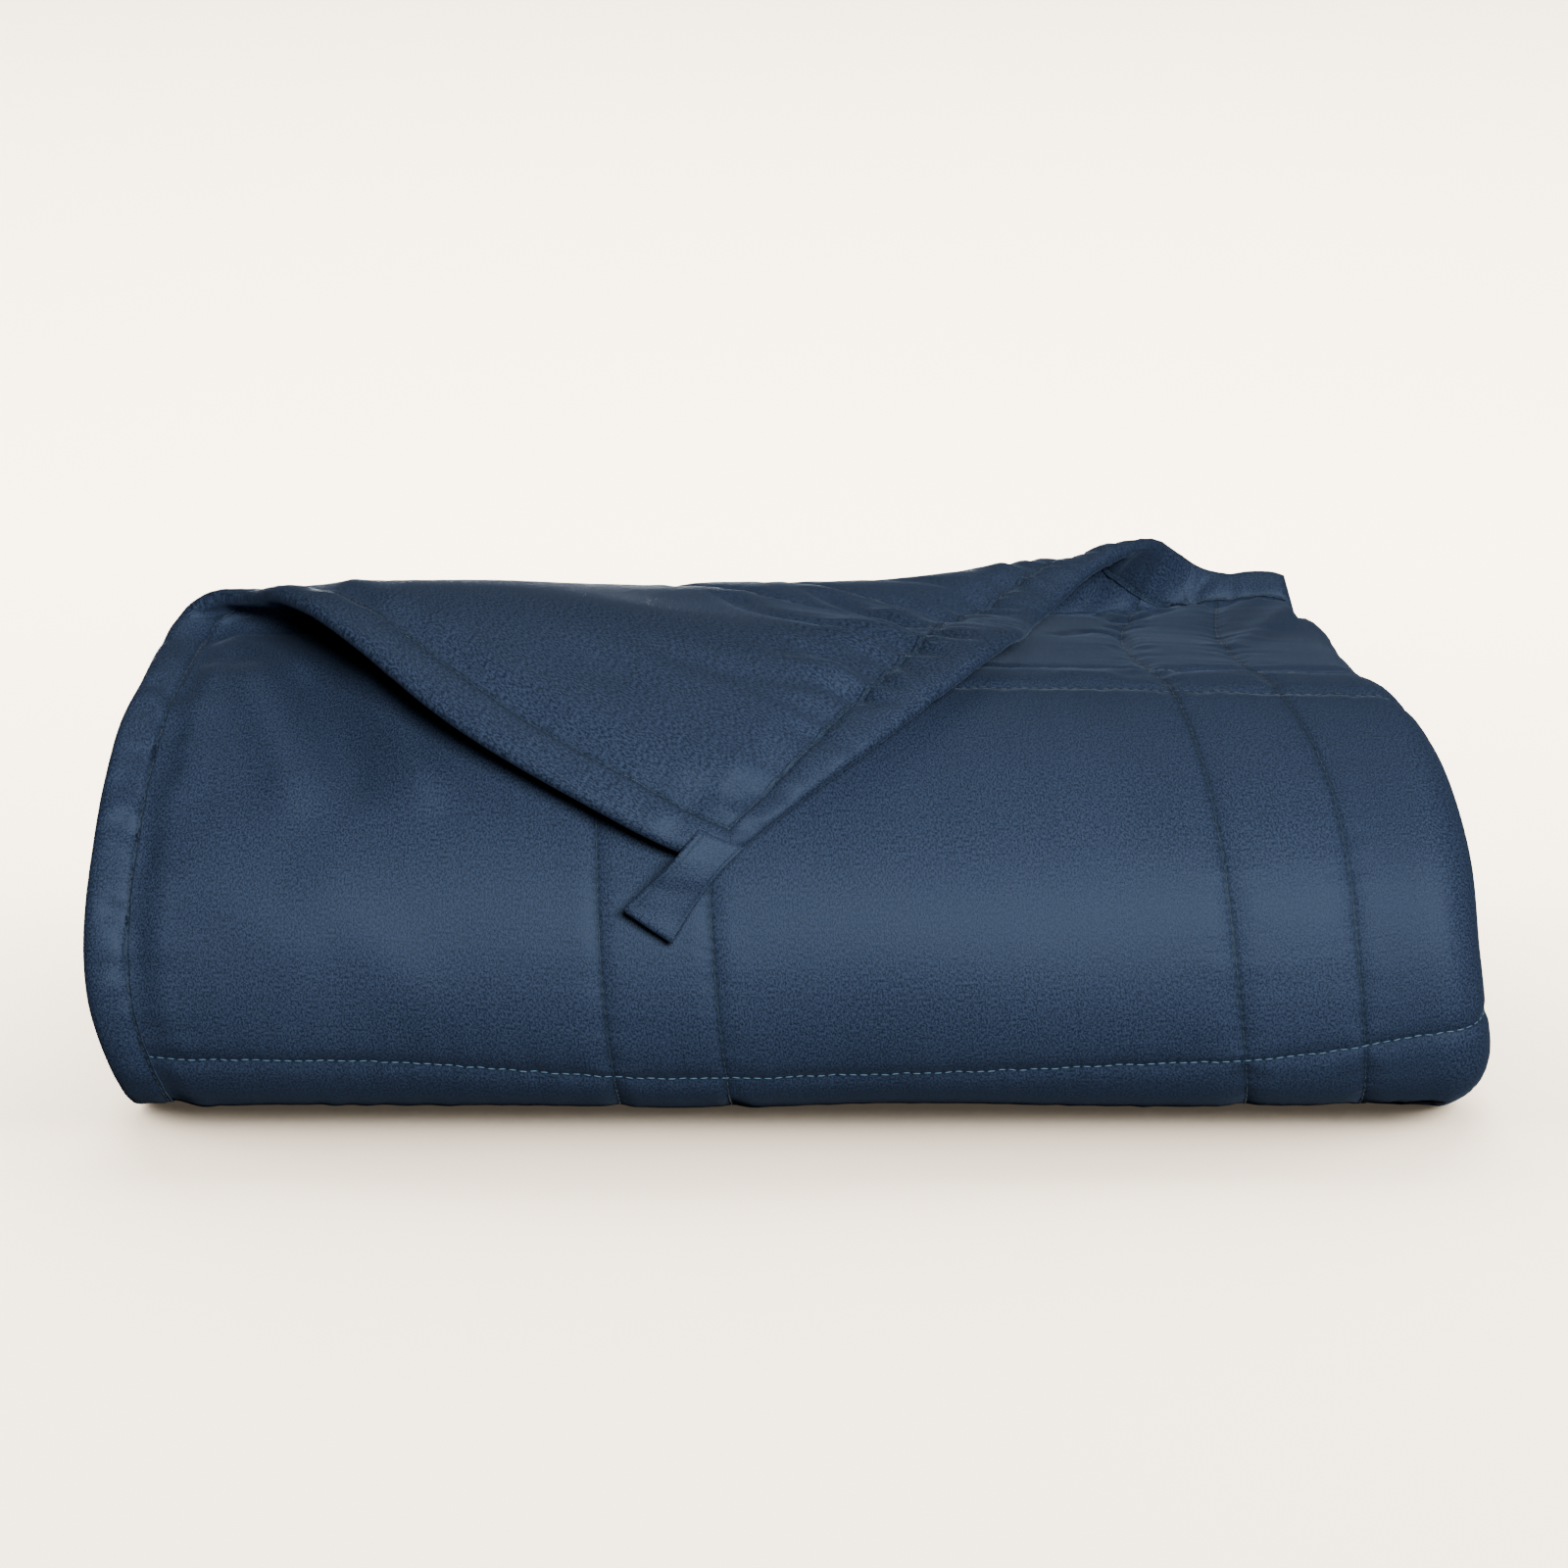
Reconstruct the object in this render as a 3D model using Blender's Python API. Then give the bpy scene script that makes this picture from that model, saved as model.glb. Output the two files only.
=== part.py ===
"""A weighted blanket, quilted in a window-pane grid, folded in half twice each way and laid down.

The cloth is one sheet.  A point of it has two coordinates:

    u   along the blanket's length, from the bound edge that shows on the left,
    t   along its width, from the bound edge at the back of the top layer.

Lengthwise the sheet is folded into four plies (a strip), and the strip is then folded into four
layers.  The top ply's back left corner is turned over towards the front, and hangs down it.
Metres throughout, +Z up, the front towards -Y.
"""

import math

import bmesh
import bpy
import numpy as np

# ---------------------------------------------------------------- driving sizes
WIDTH = 0.451            # folded blanket, left to right
PLY = 0.0072             # quilted cloth, away from the bound edge
HEM_PLY = 0.0020         # quilted cloth inside the binding
FULL_AFTER = 0.009       # from the binding to full thickness
PITCH = 0.0085           # one ply to the next
STRIP = 4 * PITCH        # one layer of four plies
BACK_EDGE = 0.125        # y of the top ply's back edge, at its left end
BACK_SLANT = 0.0717      # how much nearer to the front its right end is
FRONT_BEND = -0.0679     # y where the top starts to bend down the front
FRONT_LEAN = 0.0360      # how much wider the front bend is at the top than at the bottom
FRONT_SQUARE = 0.0030    # how much flatter it is at top and bottom than in front
BACK_BEND = 0.105        # y where the bottom starts to bend up the back
INNER_BEND = -0.0740     # y where the inner layers bend back
INNER_EDGE = 0.118       # y of the inner strip's back edge
STAGGER = 0.60           # how far an inner ply's edge stands out past the next ply's, in pitches
CENTRING = (-0.0027, 0.0212)   # moves the folded stack so that its box is centred on the origin

BINDING_WIDTH = 0.015
BINDING_CLOTH = 0.0007   # thickness of the binding's cloth
HEM_GAP = 0.0013         # between the binding and the cloth inside it
SEAT_GAP = 0.0003        # between the loop and what it is sewn to

# The turned-over corner: its crease runs from the left edge to the back edge.
CREASE_LEFT = 0.218      # cloth, from the corner to the crease along the left edge
CREASE_BACK = 0.408      # cloth, from the corner to the crease along the back edge
CREASE_T = 0.198         # where the crease leaves the left edge, on the stack
ROLLS = [  # share of the way from the left edge to the back edge, radius of the rolled crease
    (0.00, 0.0140),
    (0.20, 0.0150),
    (0.45, 0.0125),
    (0.70, 0.0120),
    (0.90, 0.0138),
    (1.00, 0.0138),
]
CORNER = (0.2015, 0.294)  # where the corner hangs, as (distance from the left, t) on the stack
EDGE_BULGE = 0.062       # how far the turned back edge bows out to the right
EDGE_SAG = 0.018         # how far the turned left edge sags
FLAP_REST = 0.0100       # turned cloth above the cloth that it lies on
FLAP_LIFT = 0.0130       # the same along its free left edge

LOOP_WIDTH = 0.020
LOOP_LENGTH = 0.036      # past the bound edge
LOOP_ROOT = 0.010        # sewn down on the binding
LOOP_CLOTH = 0.0010
LOOP_GAP = 0.0026        # between the loop's two sides near its end

# The stack isn't square: where its left side, its right quilting line and its right side are.
SIDES = [  # t, left, right quilting line, right
    (0.000, -0.175, 0.136, 0.2020),
    (0.100, -0.192, 0.122, 0.2030),
    (0.170, -0.214, 0.123, 0.2060),
    (0.205, -0.217, 0.1285, 0.2110),
    (0.250, -0.2175, 0.1345, 0.2180),
    (0.290, -0.2195, 0.1390, 0.2210),
    (0.330, -0.2215, 0.1405, 0.2235),
    (0.373, -0.2210, 0.1460, 0.2260),
    (0.600, -0.2160, 0.1420, 0.2200),
    (0.700, -0.2120, 0.1390, 0.2150),
    (1.200, -0.2130, 0.1400, 0.2100),
]
RIGHT_LINE = 0.809       # where that quilting line is, as a share of the width
SIDE_SHARE = 0.045       # at each side, the folds' share of the width keeps its true size
# How far the top ply's left edge leans in to the right, along t.
LEAN = [  # t, inwards
    (0.000, 0.0030),
    (0.173, 0.0030),
    (0.215, 0.0030),
    (0.270, 0.0000),
    (0.335, 0.0020),
    (0.373, 0.0140),
    (0.420, 0.0100),
    (1.200, 0.0100),
]
# The stack's height, as a share of its full height, from left to right.
HEIGHTS = [  # x, share
    (-0.240, 0.990),
    (-0.120, 1.004),
    (0.000, 1.000),
    (0.120, 1.000),
    (0.190, 0.985),
    (0.240, 0.970),
]

OUTER_BEND = 1.5 * STRIP + FRONT_SQUARE / 3   # mean radius of the front bend, at the strip's middle
INNER_RADIUS = 0.5 * STRIP            # radius of the inner front bend and of the back bend
TOP_HALF = 1.5 * PITCH                # the outer ply above the strip's middle
FLOOR = (PITCH - PLY) / 2             # the lowest ply stands this much too high
BOTTOM_END = FRONT_BEND - FRONT_LEAN * math.pi / 2   # y where the front bend reaches the bottom

# Lengths of the strip's stretches along t.
STRETCHES = [
    ("top", BACK_EDGE - FRONT_BEND),
    ("front", math.pi * (OUTER_BEND + TOP_HALF)),
    ("bottom", BACK_BEND - BOTTOM_END),
    ("back", math.pi * INNER_RADIUS),
    ("third", BACK_BEND - INNER_BEND),
    ("inner", math.pi * INNER_RADIUS),
    ("second", INNER_EDGE - INNER_BEND),
]
STARTS = dict(zip([n for n, _ in STRETCHES], np.cumsum([0] + [s for _, s in STRETCHES])))
T_END = sum(s for _, s in STRETCHES)

# Lengths of the plies along u.
PLY_RUN = WIDTH - TOP_HALF - PLY / 2
RUNS = [
    ("ply1", PLY_RUN),
    ("wrap", math.pi * TOP_HALF),
    ("ply4", PLY_RUN - PITCH),
    ("fold", math.pi * PITCH / 2),
    ("ply3", PLY_RUN - PITCH),
    ("tuck", math.pi * PITCH / 2),
    ("ply2", PLY_RUN - 0.004),
]
U_STARTS = dict(zip([n for n, _ in RUNS], np.cumsum([0] + [s for _, s in RUNS])))
U_END = sum(s for _, s in RUNS)


# ---------------------------------------------------------------- small helpers
def smooth(x):
    """0 below 0, 1 above 1, and a soft step between."""
    x = np.clip(x, 0.0, 1.0)
    return x * x * (3.0 - 2.0 * x)


def curve_through(table, column, at):
    """A smooth curve through a table's rows, read at each value of the first column."""
    xs = np.array([row[0] for row in table])
    ys = np.array([row[column] for row in table])
    slopes = np.gradient(ys, xs)
    at = np.clip(at, xs[0], xs[-1])
    i = np.clip(np.searchsorted(xs, at) - 1, 0, len(xs) - 2)
    span = xs[i + 1] - xs[i]
    s = (at - xs[i]) / span
    return (
        ys[i] * (1 + 2 * s) * (1 - s) ** 2
        + slopes[i] * span * s * (1 - s) ** 2
        + ys[i + 1] * s * s * (3 - 2 * s)
        + slopes[i + 1] * span * s * s * (s - 1)
    )


# ---------------------------------------------------------------- the folds
def across(u):
    """(x, h): where u lies from left to right, and how far above the strip's middle."""
    x, h = np.zeros_like(u), np.zeros_like(u)
    left, far = -WIDTH / 2, -WIDTH / 2 + PLY_RUN
    for name, length in RUNS:
        on = (u >= U_STARTS[name] - 1e-9) if name != "ply1" else np.ones_like(u, bool)
        d = u[on] - U_STARTS[name]
        if name == "ply1":
            x[on], h[on] = left + d, TOP_HALF
        elif name == "wrap":
            x[on], h[on] = far + TOP_HALF * np.sin(d / TOP_HALF), TOP_HALF * np.cos(d / TOP_HALF)
        elif name == "ply4":
            x[on], h[on] = far - d, -TOP_HALF
        elif name == "fold":
            turn = d / (PITCH / 2)
            x[on] = left + PITCH - PITCH / 2 * np.sin(turn)
            h[on] = -PITCH - PITCH / 2 * np.cos(turn)
        elif name == "ply3":
            x[on], h[on] = left + PITCH + d, -PITCH / 2
        elif name == "tuck":
            turn = d / (PITCH / 2)
            x[on], h[on] = far + PITCH / 2 * np.sin(turn), -PITCH / 2 * np.cos(turn)
        else:
            x[on], h[on] = far - d, PITCH / 2
    return x, h


def front_turn(share):
    """How far the front bend has turned, at a share of its length along the top ply."""
    radius = OUTER_BEND + TOP_HALF
    turn = math.pi * share
    for _ in range(6):
        length = radius * turn + FRONT_LEAN * np.sin(turn) + FRONT_SQUARE / 2 * np.sin(2 * turn)
        slope = radius + FRONT_LEAN * np.cos(turn) + FRONT_SQUARE * np.cos(2 * turn)
        turn = turn + (radius * math.pi * share - length) / slope
    return turn


def along(t, h, back_edge):
    """(y, z) of the strip at t, h above its middle, towards its outer side."""
    y, z = np.zeros_like(t), np.zeros_like(t)
    middle = 2 * STRIP
    for name, length in STRETCHES:
        on = (t >= STARTS[name] - 1e-9) if name != "top" else np.ones_like(t, bool)
        share, out = (t[on] - STARTS[name]) / length, h[on]
        if name == "top":
            edge = back_edge[on] + STAGGER * (TOP_HALF - out)
            y[on], z[on] = edge + (FRONT_BEND - edge) * share, 3.5 * STRIP + out
        elif name == "front":
            turn = front_turn(share)
            sin, cos = np.sin(turn), np.cos(turn)
            inwards = (OUTER_BEND + out) * sin + FRONT_LEAN * (turn / 2 + np.sin(2 * turn) / 4)
            inwards += FRONT_SQUARE * (sin / 2 + np.sin(3 * turn) / 6)
            down = OUTER_BEND * (1 - cos) - out * cos + FRONT_LEAN * sin**2 / 2
            down += FRONT_SQUARE * (cos / 2 - np.cos(3 * turn) / 6 - 1 / 3)
            y[on], z[on] = FRONT_BEND - inwards, 3.5 * STRIP - down
        elif name == "bottom":
            y[on], z[on] = BOTTOM_END + length * share, STRIP / 2 - out
        elif name == "back":
            radius, turn = INNER_RADIUS + out, math.pi * share
            y[on], z[on] = BACK_BEND + radius * np.sin(turn), STRIP - radius * np.cos(turn)
        elif name == "third":
            y[on], z[on] = BACK_BEND - length * share, 1.5 * STRIP + out
        elif name == "inner":
            radius, turn = INNER_RADIUS - out, math.pi * share
            y[on], z[on] = INNER_BEND - radius * np.sin(turn), middle - radius * np.cos(turn)
        else:
            edge = INNER_EDGE - STAGGER * (TOP_HALF + out) / 2
            y[on], z[on] = INNER_BEND + (edge - INNER_BEND) * share, 2.5 * STRIP - out
    return y, z


def stacked(x, h, t, lean):
    """A point of the folded stack, with its uneven sides and height."""
    left, line, right = (curve_through(SIDES, column, t) for column in (1, 2, 3))
    share = (x + WIDTH / 2) / WIDTH
    a, b, c = SIDE_SHARE, RIGHT_LINE, 1 - SIDE_SHARE
    start, end = left + a * WIDTH, right - a * WIDTH
    inner, past = np.clip(share, a, c), np.clip((share - b) / (c - b), 0, 1)
    even = start + (line - start) * (inner - a) / (b - a)
    all_even = start + (line - start) * (c - a) / (b - a)
    x = even + (end - all_even) * past**2 + (share - inner) * WIDTH
    x = x + lean * curve_through(LEAN, 1, t) * np.clip(1 - share / 0.5, 0, 1) ** 2
    y, z = along(t, h, BACK_EDGE - BACK_SLANT * share)
    z = (z - FLOOR) * (1 + (curve_through(HEIGHTS, 1, x) - 1) * smooth(z / (4 * STRIP)))
    return np.stack([x + CENTRING[0], y + CENTRING[1], z], axis=-1)


def turned(u, t):
    """(from the left, t, height) of the top ply's cloth, which rolls over along the crease."""
    cloth = t * CREASE_LEFT / CREASE_T
    from_left, from_back = u / CREASE_BACK, cloth / CREASE_LEFT
    past = 1 - from_left - from_back
    start, end = np.array([0.0, CREASE_T]), np.array([CREASE_BACK, 0.0])
    crease = np.linalg.norm(end - start)
    e = (end - start) / crease
    n = np.array([-e[1], e[0]])
    corner = np.array(CORNER) - start
    l_corner, s_corner = corner @ e, corner @ n
    roll = curve_through(ROLLS, 1, from_left)
    w = np.maximum(past, 0) * (s_corner + math.pi * roll)
    l = from_left * crease + np.maximum(past, 0) * l_corner
    turn = np.minimum(w / roll, math.pi)
    beyond = np.maximum(w - math.pi * roll, 0)
    s = -roll * np.sin(turn) + beyond
    bow = beyond / s_corner
    a = start[0] + l * e[0] + s * n[0]
    b = start[1] + l * e[1] + s * n[1]
    arch = np.sin(math.pi * np.clip(bow, 0, 1)) ** 2
    a = a + EDGE_BULGE * arch * (1 - np.clip(from_back, 0, 1)) ** 3
    b = b + EDGE_SAG * arch * (1 - np.clip(from_left, 0, 1)) ** 3
    free_edge = 1 - np.clip(from_left / 0.5, 0, 1)
    rest = FLAP_REST + FLAP_LIFT * free_edge * (1 - smooth(beyond / 0.12))
    height = roll * (1 - np.cos(turn)) + (rest - 2 * roll) * smooth(beyond / 0.09)
    flat = past <= 0
    return np.where(flat, u, a), np.where(flat, t, b), np.where(flat, 0.0, height)


def sheet(u, t):
    """The middle of the cloth at each (u, t)."""
    u, t = np.broadcast_arrays(np.asarray(u, float), np.asarray(t, float))
    shape = u.shape
    u, t = u.ravel().copy(), t.ravel().copy()
    x, h = across(u)
    over = (u < CREASE_BACK) & (t < CREASE_T)
    a, b, height = turned(u[over], t[over])
    x[over], h[over], t[over] = a - WIDTH / 2, h[over] + height, b
    lean = (u < U_STARTS["wrap"]).astype(float)
    return stacked(x, h, t, lean).reshape(shape + (3,))


def facing(u, t, step=0.0004):
    """The cloth's outward direction at each (u, t)."""
    du = sheet(u + step, t) - sheet(u - step, t)
    dt = sheet(u, t + step) - sheet(u, t - step)
    n = np.cross(dt, du)
    return n / np.linalg.norm(n, axis=-1, keepdims=True)


# ---------------------------------------------------------------- where the mesh's lines lie
def u_lines():
    """The sheet's lines across u: close together where it bends."""
    at = [EDGE_IN, BINDING_WIDTH / 2, BINDING_WIDTH, 0.032]
    at += list(np.arange(0.056, 0.29, 0.0235)) + list(np.arange(0.300, CREASE_BACK + 0.006, 0.008))
    for name, steps in (("wrap", 6), ("ply4", 3), ("fold", 5), ("ply3", 3), ("tuck", 5), ("ply2", 3)):
        length = dict(RUNS)[name]
        at += [U_STARTS[name] + length * i / steps for i in range(steps)]
    at += [U_END - BINDING_WIDTH, U_END - BINDING_WIDTH / 2, U_END - EDGE_IN]
    return np.array(at)


EDGE_IN = HEM_GAP + BINDING_CLOTH      # the cloth's edge, inside its binding
BEFORE_CREASE = [0.140, 0.114, 0.088, 0.063, 0.043, 0.034, 0.0275, 0.0215, 0.016, 0.0105, 0.005, 0.0]
CROWDED = 0.0007         # the same rows, where there is no room before the crease
BEND_ROWS = 0.215        # from here the rows are evenly spaced down the front
MIN_SPLIT = BINDING_WIDTH * CREASE_T / CREASE_LEFT + len(BEFORE_CREASE) * CROWDED + 0.001


def t_rows(u):
    """The sheet's lines across t for one u.  Near the back edge they follow the crease."""
    hem = BINDING_WIDTH * CREASE_T / CREASE_LEFT
    u = 0.0 if u <= BINDING_WIDTH else u
    split = max(CREASE_T * (1 - u / CREASE_BACK), MIN_SPLIT)
    rows = [EDGE_IN * CREASE_T / CREASE_LEFT, hem / 2, hem]
    rows += [max(split - d, hem + CROWDED * (j + 1)) for j, d in enumerate(BEFORE_CREASE)]
    start = max(STARTS["front"], split + 0.004)
    rows += [(split + start) / 2, start]
    rows += [BEND_ROWS + (STARTS["bottom"] - BEND_ROWS) * i / 9 for i in range(9)]
    for name, steps in (("bottom", 1), ("back", 5), ("third", 1), ("inner", 4), ("second", 2)):
        length = dict(STRETCHES)[name]
        rows += [STARTS[name] + length * i / steps for i in range(steps)]
    rows += [T_END - BINDING_WIDTH, T_END - BINDING_WIDTH / 2, T_END - EDGE_IN]
    return np.array(rows)


# ---------------------------------------------------------------- building
def cloth_material(name, colour, roughness):
    material = bpy.data.materials.new(name)
    material.use_nodes = True
    shader = material.node_tree.nodes["Principled BSDF"]
    shader.inputs["Base Color"].default_value = (*colour, 1)
    shader.inputs["Roughness"].default_value = roughness
    shader.inputs["Metallic"].default_value = 0.0
    return material


def closed_rings(name, rings, material, cloth=None, round_and_round=False):
    """A solid from rings of points (rings, points, 3), each ring one closed section.

    cloth is (u, t, height) of each point, so that all faces on one cloth split the same way.
    round_and_round joins the last ring to the first.  Otherwise both ends are capped.
    """
    count, around = rings.shape[:2]
    mesh = bpy.data.meshes.new(name)
    bm = bmesh.new()
    verts = [bm.verts.new(p) for p in rings.reshape(-1, 3)]
    places = np.zeros((count * around, 3)) if cloth is None else cloth.reshape(-1, 3)
    for r in range(count if round_and_round else count - 1):
        after = (r + 1) % count
        for k in range(around):
            k_next = (k + 1) % around
            a, b = r * around + k, r * around + k_next
            c, d = after * around + k_next, after * around + k
            du, dt, dh = places[c] - places[a]
            rising = (du * dt or dh) >= 0
            for corners in ((a, b, c), (a, c, d)) if rising else ((a, b, d), (b, c, d)):
                bm.faces.new([verts[i] for i in corners])
    if not round_and_round:
        for r in (0, count - 1):
            for k in range(around // 2 - 1):
                a, b, c, d = [r * around + i for i in (k, k + 1, around - 2 - k, around - 1 - k)]
                for corners in ((a, b, c), (a, c, d)):
                    bm.faces.new([verts[i] for i in (corners if r else corners[::-1])])
    bmesh.ops.remove_doubles(bm, verts=bm.verts, dist=1e-7)
    bmesh.ops.recalc_face_normals(bm, faces=bm.faces)
    bm.to_mesh(mesh)
    bm.free()
    mesh.materials.append(material)
    return bpy.data.objects.new(name, mesh)


def quilted_cloth(material):
    """The blanket itself: thinner inside its binding, full between."""
    us = u_lines()
    ts = np.stack([t_rows(u) for u in us], axis=0)
    us = np.broadcast_to(us[:, None], ts.shape)
    hem = BINDING_WIDTH
    inset = [us - hem, U_END - hem - us, ts - hem * CREASE_T / CREASE_LEFT, T_END - hem - ts]
    half = HEM_PLY / 2 + (PLY - HEM_PLY) / 2 * smooth(np.minimum.reduce(inset) / FULL_AFTER)
    middle, outward = sheet(us, ts), facing(us, ts) * half[..., None]
    rings = np.concatenate([middle + outward, (middle - outward)[:, ::-1]], axis=1)
    above, below = np.stack([us, ts, half], axis=-1), np.stack([us, ts, -half], axis=-1)
    cloth = np.concatenate([above, below[:, ::-1]], axis=1)
    return closed_rings("quilted_blanket", rings, material, cloth)


def edge_walk():
    """Once round the cloth's edge: (u, t, direction in u, direction in t) with a mitre at each corner."""
    us, first, last = u_lines(), t_rows(0.0), t_rows(U_END)
    scale = CREASE_T / CREASE_LEFT
    walk = [(0.0, 0.0, 1.0, scale), (0.0, BINDING_WIDTH * scale, 1.0, 0.0)]
    walk += [(0.0, t, 1.0, 0.0) for t in first[3:-3]]
    walk += [(0.0, T_END, 1.0, -1.0)]
    walk += [(u, T_END, 0.0, -1.0) for u in us[3:-3]]
    walk += [(U_END, T_END, -1.0, -1.0)]
    walk += [(U_END, t, -1.0, 0.0) for t in last[3:-3][::-1]]
    walk += [(U_END, 0.0, -1.0, scale)]
    walk += [(u, 0.0, 0.0, scale) for u in us[3:-3][::-1]]
    walk += [(BINDING_WIDTH, 0.0, 0.0, scale)]
    return walk


def binding(material):
    """A strip of cloth folded over the edge all the way round."""
    inner = HEM_PLY / 2 + HEM_GAP
    outer = inner + BINDING_CLOTH
    section = [  # inwards from the edge, out of the cloth's middle
        (BINDING_WIDTH, outer),
        (BINDING_WIDTH / 2, outer),
        (0.0, outer),
        (0.0, -outer),
        (BINDING_WIDTH / 2, -outer),
        (BINDING_WIDTH, -outer),
        (BINDING_WIDTH, -inner),
        (BINDING_WIDTH / 2, -inner),
        (BINDING_CLOTH, -inner),
        (BINDING_CLOTH, inner),
        (BINDING_WIDTH / 2, inner),
        (BINDING_WIDTH, inner),
    ]
    rings, cloth = [], []
    for u, t, du, dt in edge_walk():
        held = np.array([EDGE_IN, BINDING_WIDTH / 2, BINDING_WIDTH])
        middle, out = sheet(u + held * du, t + held * dt), facing(u + held * du, t + held * dt)
        outwards = (middle[0] - middle[1]) / (held[1] - held[0])
        ring, places = [], []
        for inwards, off in section:
            i = int(np.argmin(abs(held - inwards)))
            ring.append(middle[i] + off * out[i] + outwards * (held[i] - inwards))
            places.append((u + held[i] * du, t + held[i] * dt, off))
        rings.append(ring)
        cloth.append(places)
    return closed_rings("binding", np.array(rings), material, np.array(cloth), round_and_round=True)


def corner_loop(material):
    """A tape folded in half and sewn to the corner, on the side that shows when it is turned over."""
    low = HEM_PLY / 2 + HEM_GAP + BINDING_CLOTH + 2 * SEAT_GAP + LOOP_CLOTH / 2
    half = (LOOP_GAP + LOOP_CLOTH) / 2
    reach = LOOP_ROOT + LOOP_LENGTH
    steps = 7
    path = [(LOOP_ROOT - reach * i / steps, low, 0.0) for i in range(steps + 1)]
    for i in range(1, 4):
        turn = math.pi * i / 4
        path.append((-LOOP_LENGTH - half * math.sin(turn), low + half * (1 - math.cos(turn)), turn))
    for i in range(steps, -1, -1):
        opening = LOOP_CLOTH + SEAT_GAP + (LOOP_GAP - SEAT_GAP) * smooth(i / steps)
        path.append((LOOP_ROOT - reach * i / steps, low + opening, math.pi))
    rings = []
    for u, height, turn in path:
        ring = []
        for side, row in ((1, (0.0, 0.5, 1.0)), (-1, (1.0, 0.5, 0.0))):
            for share in row:
                t = np.array((0.0015 + LOOP_WIDTH * share) * CREASE_T / CREASE_LEFT)
                at_u = np.array(u - side * LOOP_CLOTH / 2 * math.sin(turn))
                at_height = height - side * LOOP_CLOTH / 2 * math.cos(turn)
                ring.append(sheet(at_u, t) - at_height * facing(at_u, t))
        rings.append(ring)
    return closed_rings("corner_loop", np.array(rings), material)


def main():
    for obj in list(bpy.data.objects):
        bpy.data.objects.remove(obj)
    blanket = bpy.data.collections.new("weighted blanket")
    bpy.context.scene.collection.children.link(blanket)
    sateen = cloth_material("navy sateen", (0.045, 0.080, 0.140), 0.45)
    edging = cloth_material("navy binding", (0.040, 0.072, 0.125), 0.50)
    tape = cloth_material("navy tape", (0.050, 0.088, 0.150), 0.50)
    for obj in (quilted_cloth(sateen), binding(edging), corner_loop(tape)):
        blanket.objects.link(obj)


main()
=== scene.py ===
# %% [markdown]
# # A weighted blanket, folded
#
# The blanket is one quilted sheet of navy sateen, bound all round, with a tape loop on a corner.
# It is folded twice each way into a thick stack, and one corner of the top is turned forward.
# Each piece is made in turn: the quilted cloth, its binding, the loop, and then the stitches.

# %% Load the frame
import math

import bpy
import numpy as np
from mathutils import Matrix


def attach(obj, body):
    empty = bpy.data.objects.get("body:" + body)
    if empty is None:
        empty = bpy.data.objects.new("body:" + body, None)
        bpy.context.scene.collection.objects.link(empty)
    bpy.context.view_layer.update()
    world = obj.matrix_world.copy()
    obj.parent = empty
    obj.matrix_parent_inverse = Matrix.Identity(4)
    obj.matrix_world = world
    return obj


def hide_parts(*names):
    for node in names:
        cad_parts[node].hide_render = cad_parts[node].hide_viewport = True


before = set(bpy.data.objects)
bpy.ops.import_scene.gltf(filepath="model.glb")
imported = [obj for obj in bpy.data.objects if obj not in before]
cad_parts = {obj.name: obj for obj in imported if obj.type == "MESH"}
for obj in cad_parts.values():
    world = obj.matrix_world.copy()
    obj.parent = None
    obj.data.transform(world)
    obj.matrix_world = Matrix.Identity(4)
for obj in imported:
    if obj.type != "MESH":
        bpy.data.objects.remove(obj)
bpy.context.view_layer.update()

# %% [markdown]
# ## The folds
#
# A point of the cloth has two coordinates, as on a map: u runs along the blanket's length from
# the bound edge on the left, and t along its width from the bound edge at the back of the top.
# Folding is then a function from (u, t) to a place in space.  Every piece that lies on the cloth
# asks the same function where it goes, so the pieces fit together however the folds are changed.

# %% Driving sizes, in metres
WIDTH = 0.451            # folded blanket, left to right
PLY = 0.0072             # quilted cloth
PITCH = 0.0085           # one ply to the next
STRIP = 4 * PITCH        # one layer of four plies
BACK_EDGE = 0.125        # y of the top ply's back edge, at its left end
BACK_SLANT = 0.0717      # how much nearer to the front its right end is
FRONT_BEND = -0.0679     # y where the top starts to bend down the front
FRONT_LEAN = 0.0400      # how much wider the front bend is at the top than at the bottom
FRONT_SQUARE = 0.0030    # how much flatter it is at top and bottom than in front
BACK_BEND = 0.105        # y where the bottom starts to bend up the back
INNER_BEND = -0.0740     # y where the inner layers bend back
INNER_EDGE = 0.118       # y of the inner strip's back edge
STAGGER = 0.60           # how far an inner ply's edge stands out past the next, in pitches
CENTRING = (-0.0027, 0.0212)  # how far the stack moves in x and y, to lie round the origin
BINDING_WIDTH = 0.015
CREASE_LEFT = 0.218      # cloth, from the corner to the crease along the left edge
CREASE_BACK = 0.408      # cloth, from the corner to the crease along the back edge
CREASE_T = 0.2035        # where the crease leaves the left edge, on the stack
CREASE_REACH = 1.45      # the roll still lifts the left edge up to here, as a share of CREASE_T
CORNER = (0.2032, 0.2932)  # where the corner hangs, as (from the left, t) on the stack
FLAP_REST = 0.0100       # turned cloth above the cloth that it lies on
FLAP_LIFT = 0.0130       # how much more that is along its free left edge
LIFT_ENDS = 0.12         # from the crease, where that edge's lift ends
FLAP_SETTLES = 0.09      # from the crease, where the flap has sunk to its rest
RIGHT_BOWS = (0.82, 0.57)   # which way the turned right edge bows out, as (from the left, t)
LEFT_BOWS = (-0.44, 0.90)   # and the turned left edge
BACK_LIFT_REACH = 0.16   # t up to which the top's back edge is lifted
BACK_CURL_REACH = 0.022  # and up to which it curls
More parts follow.
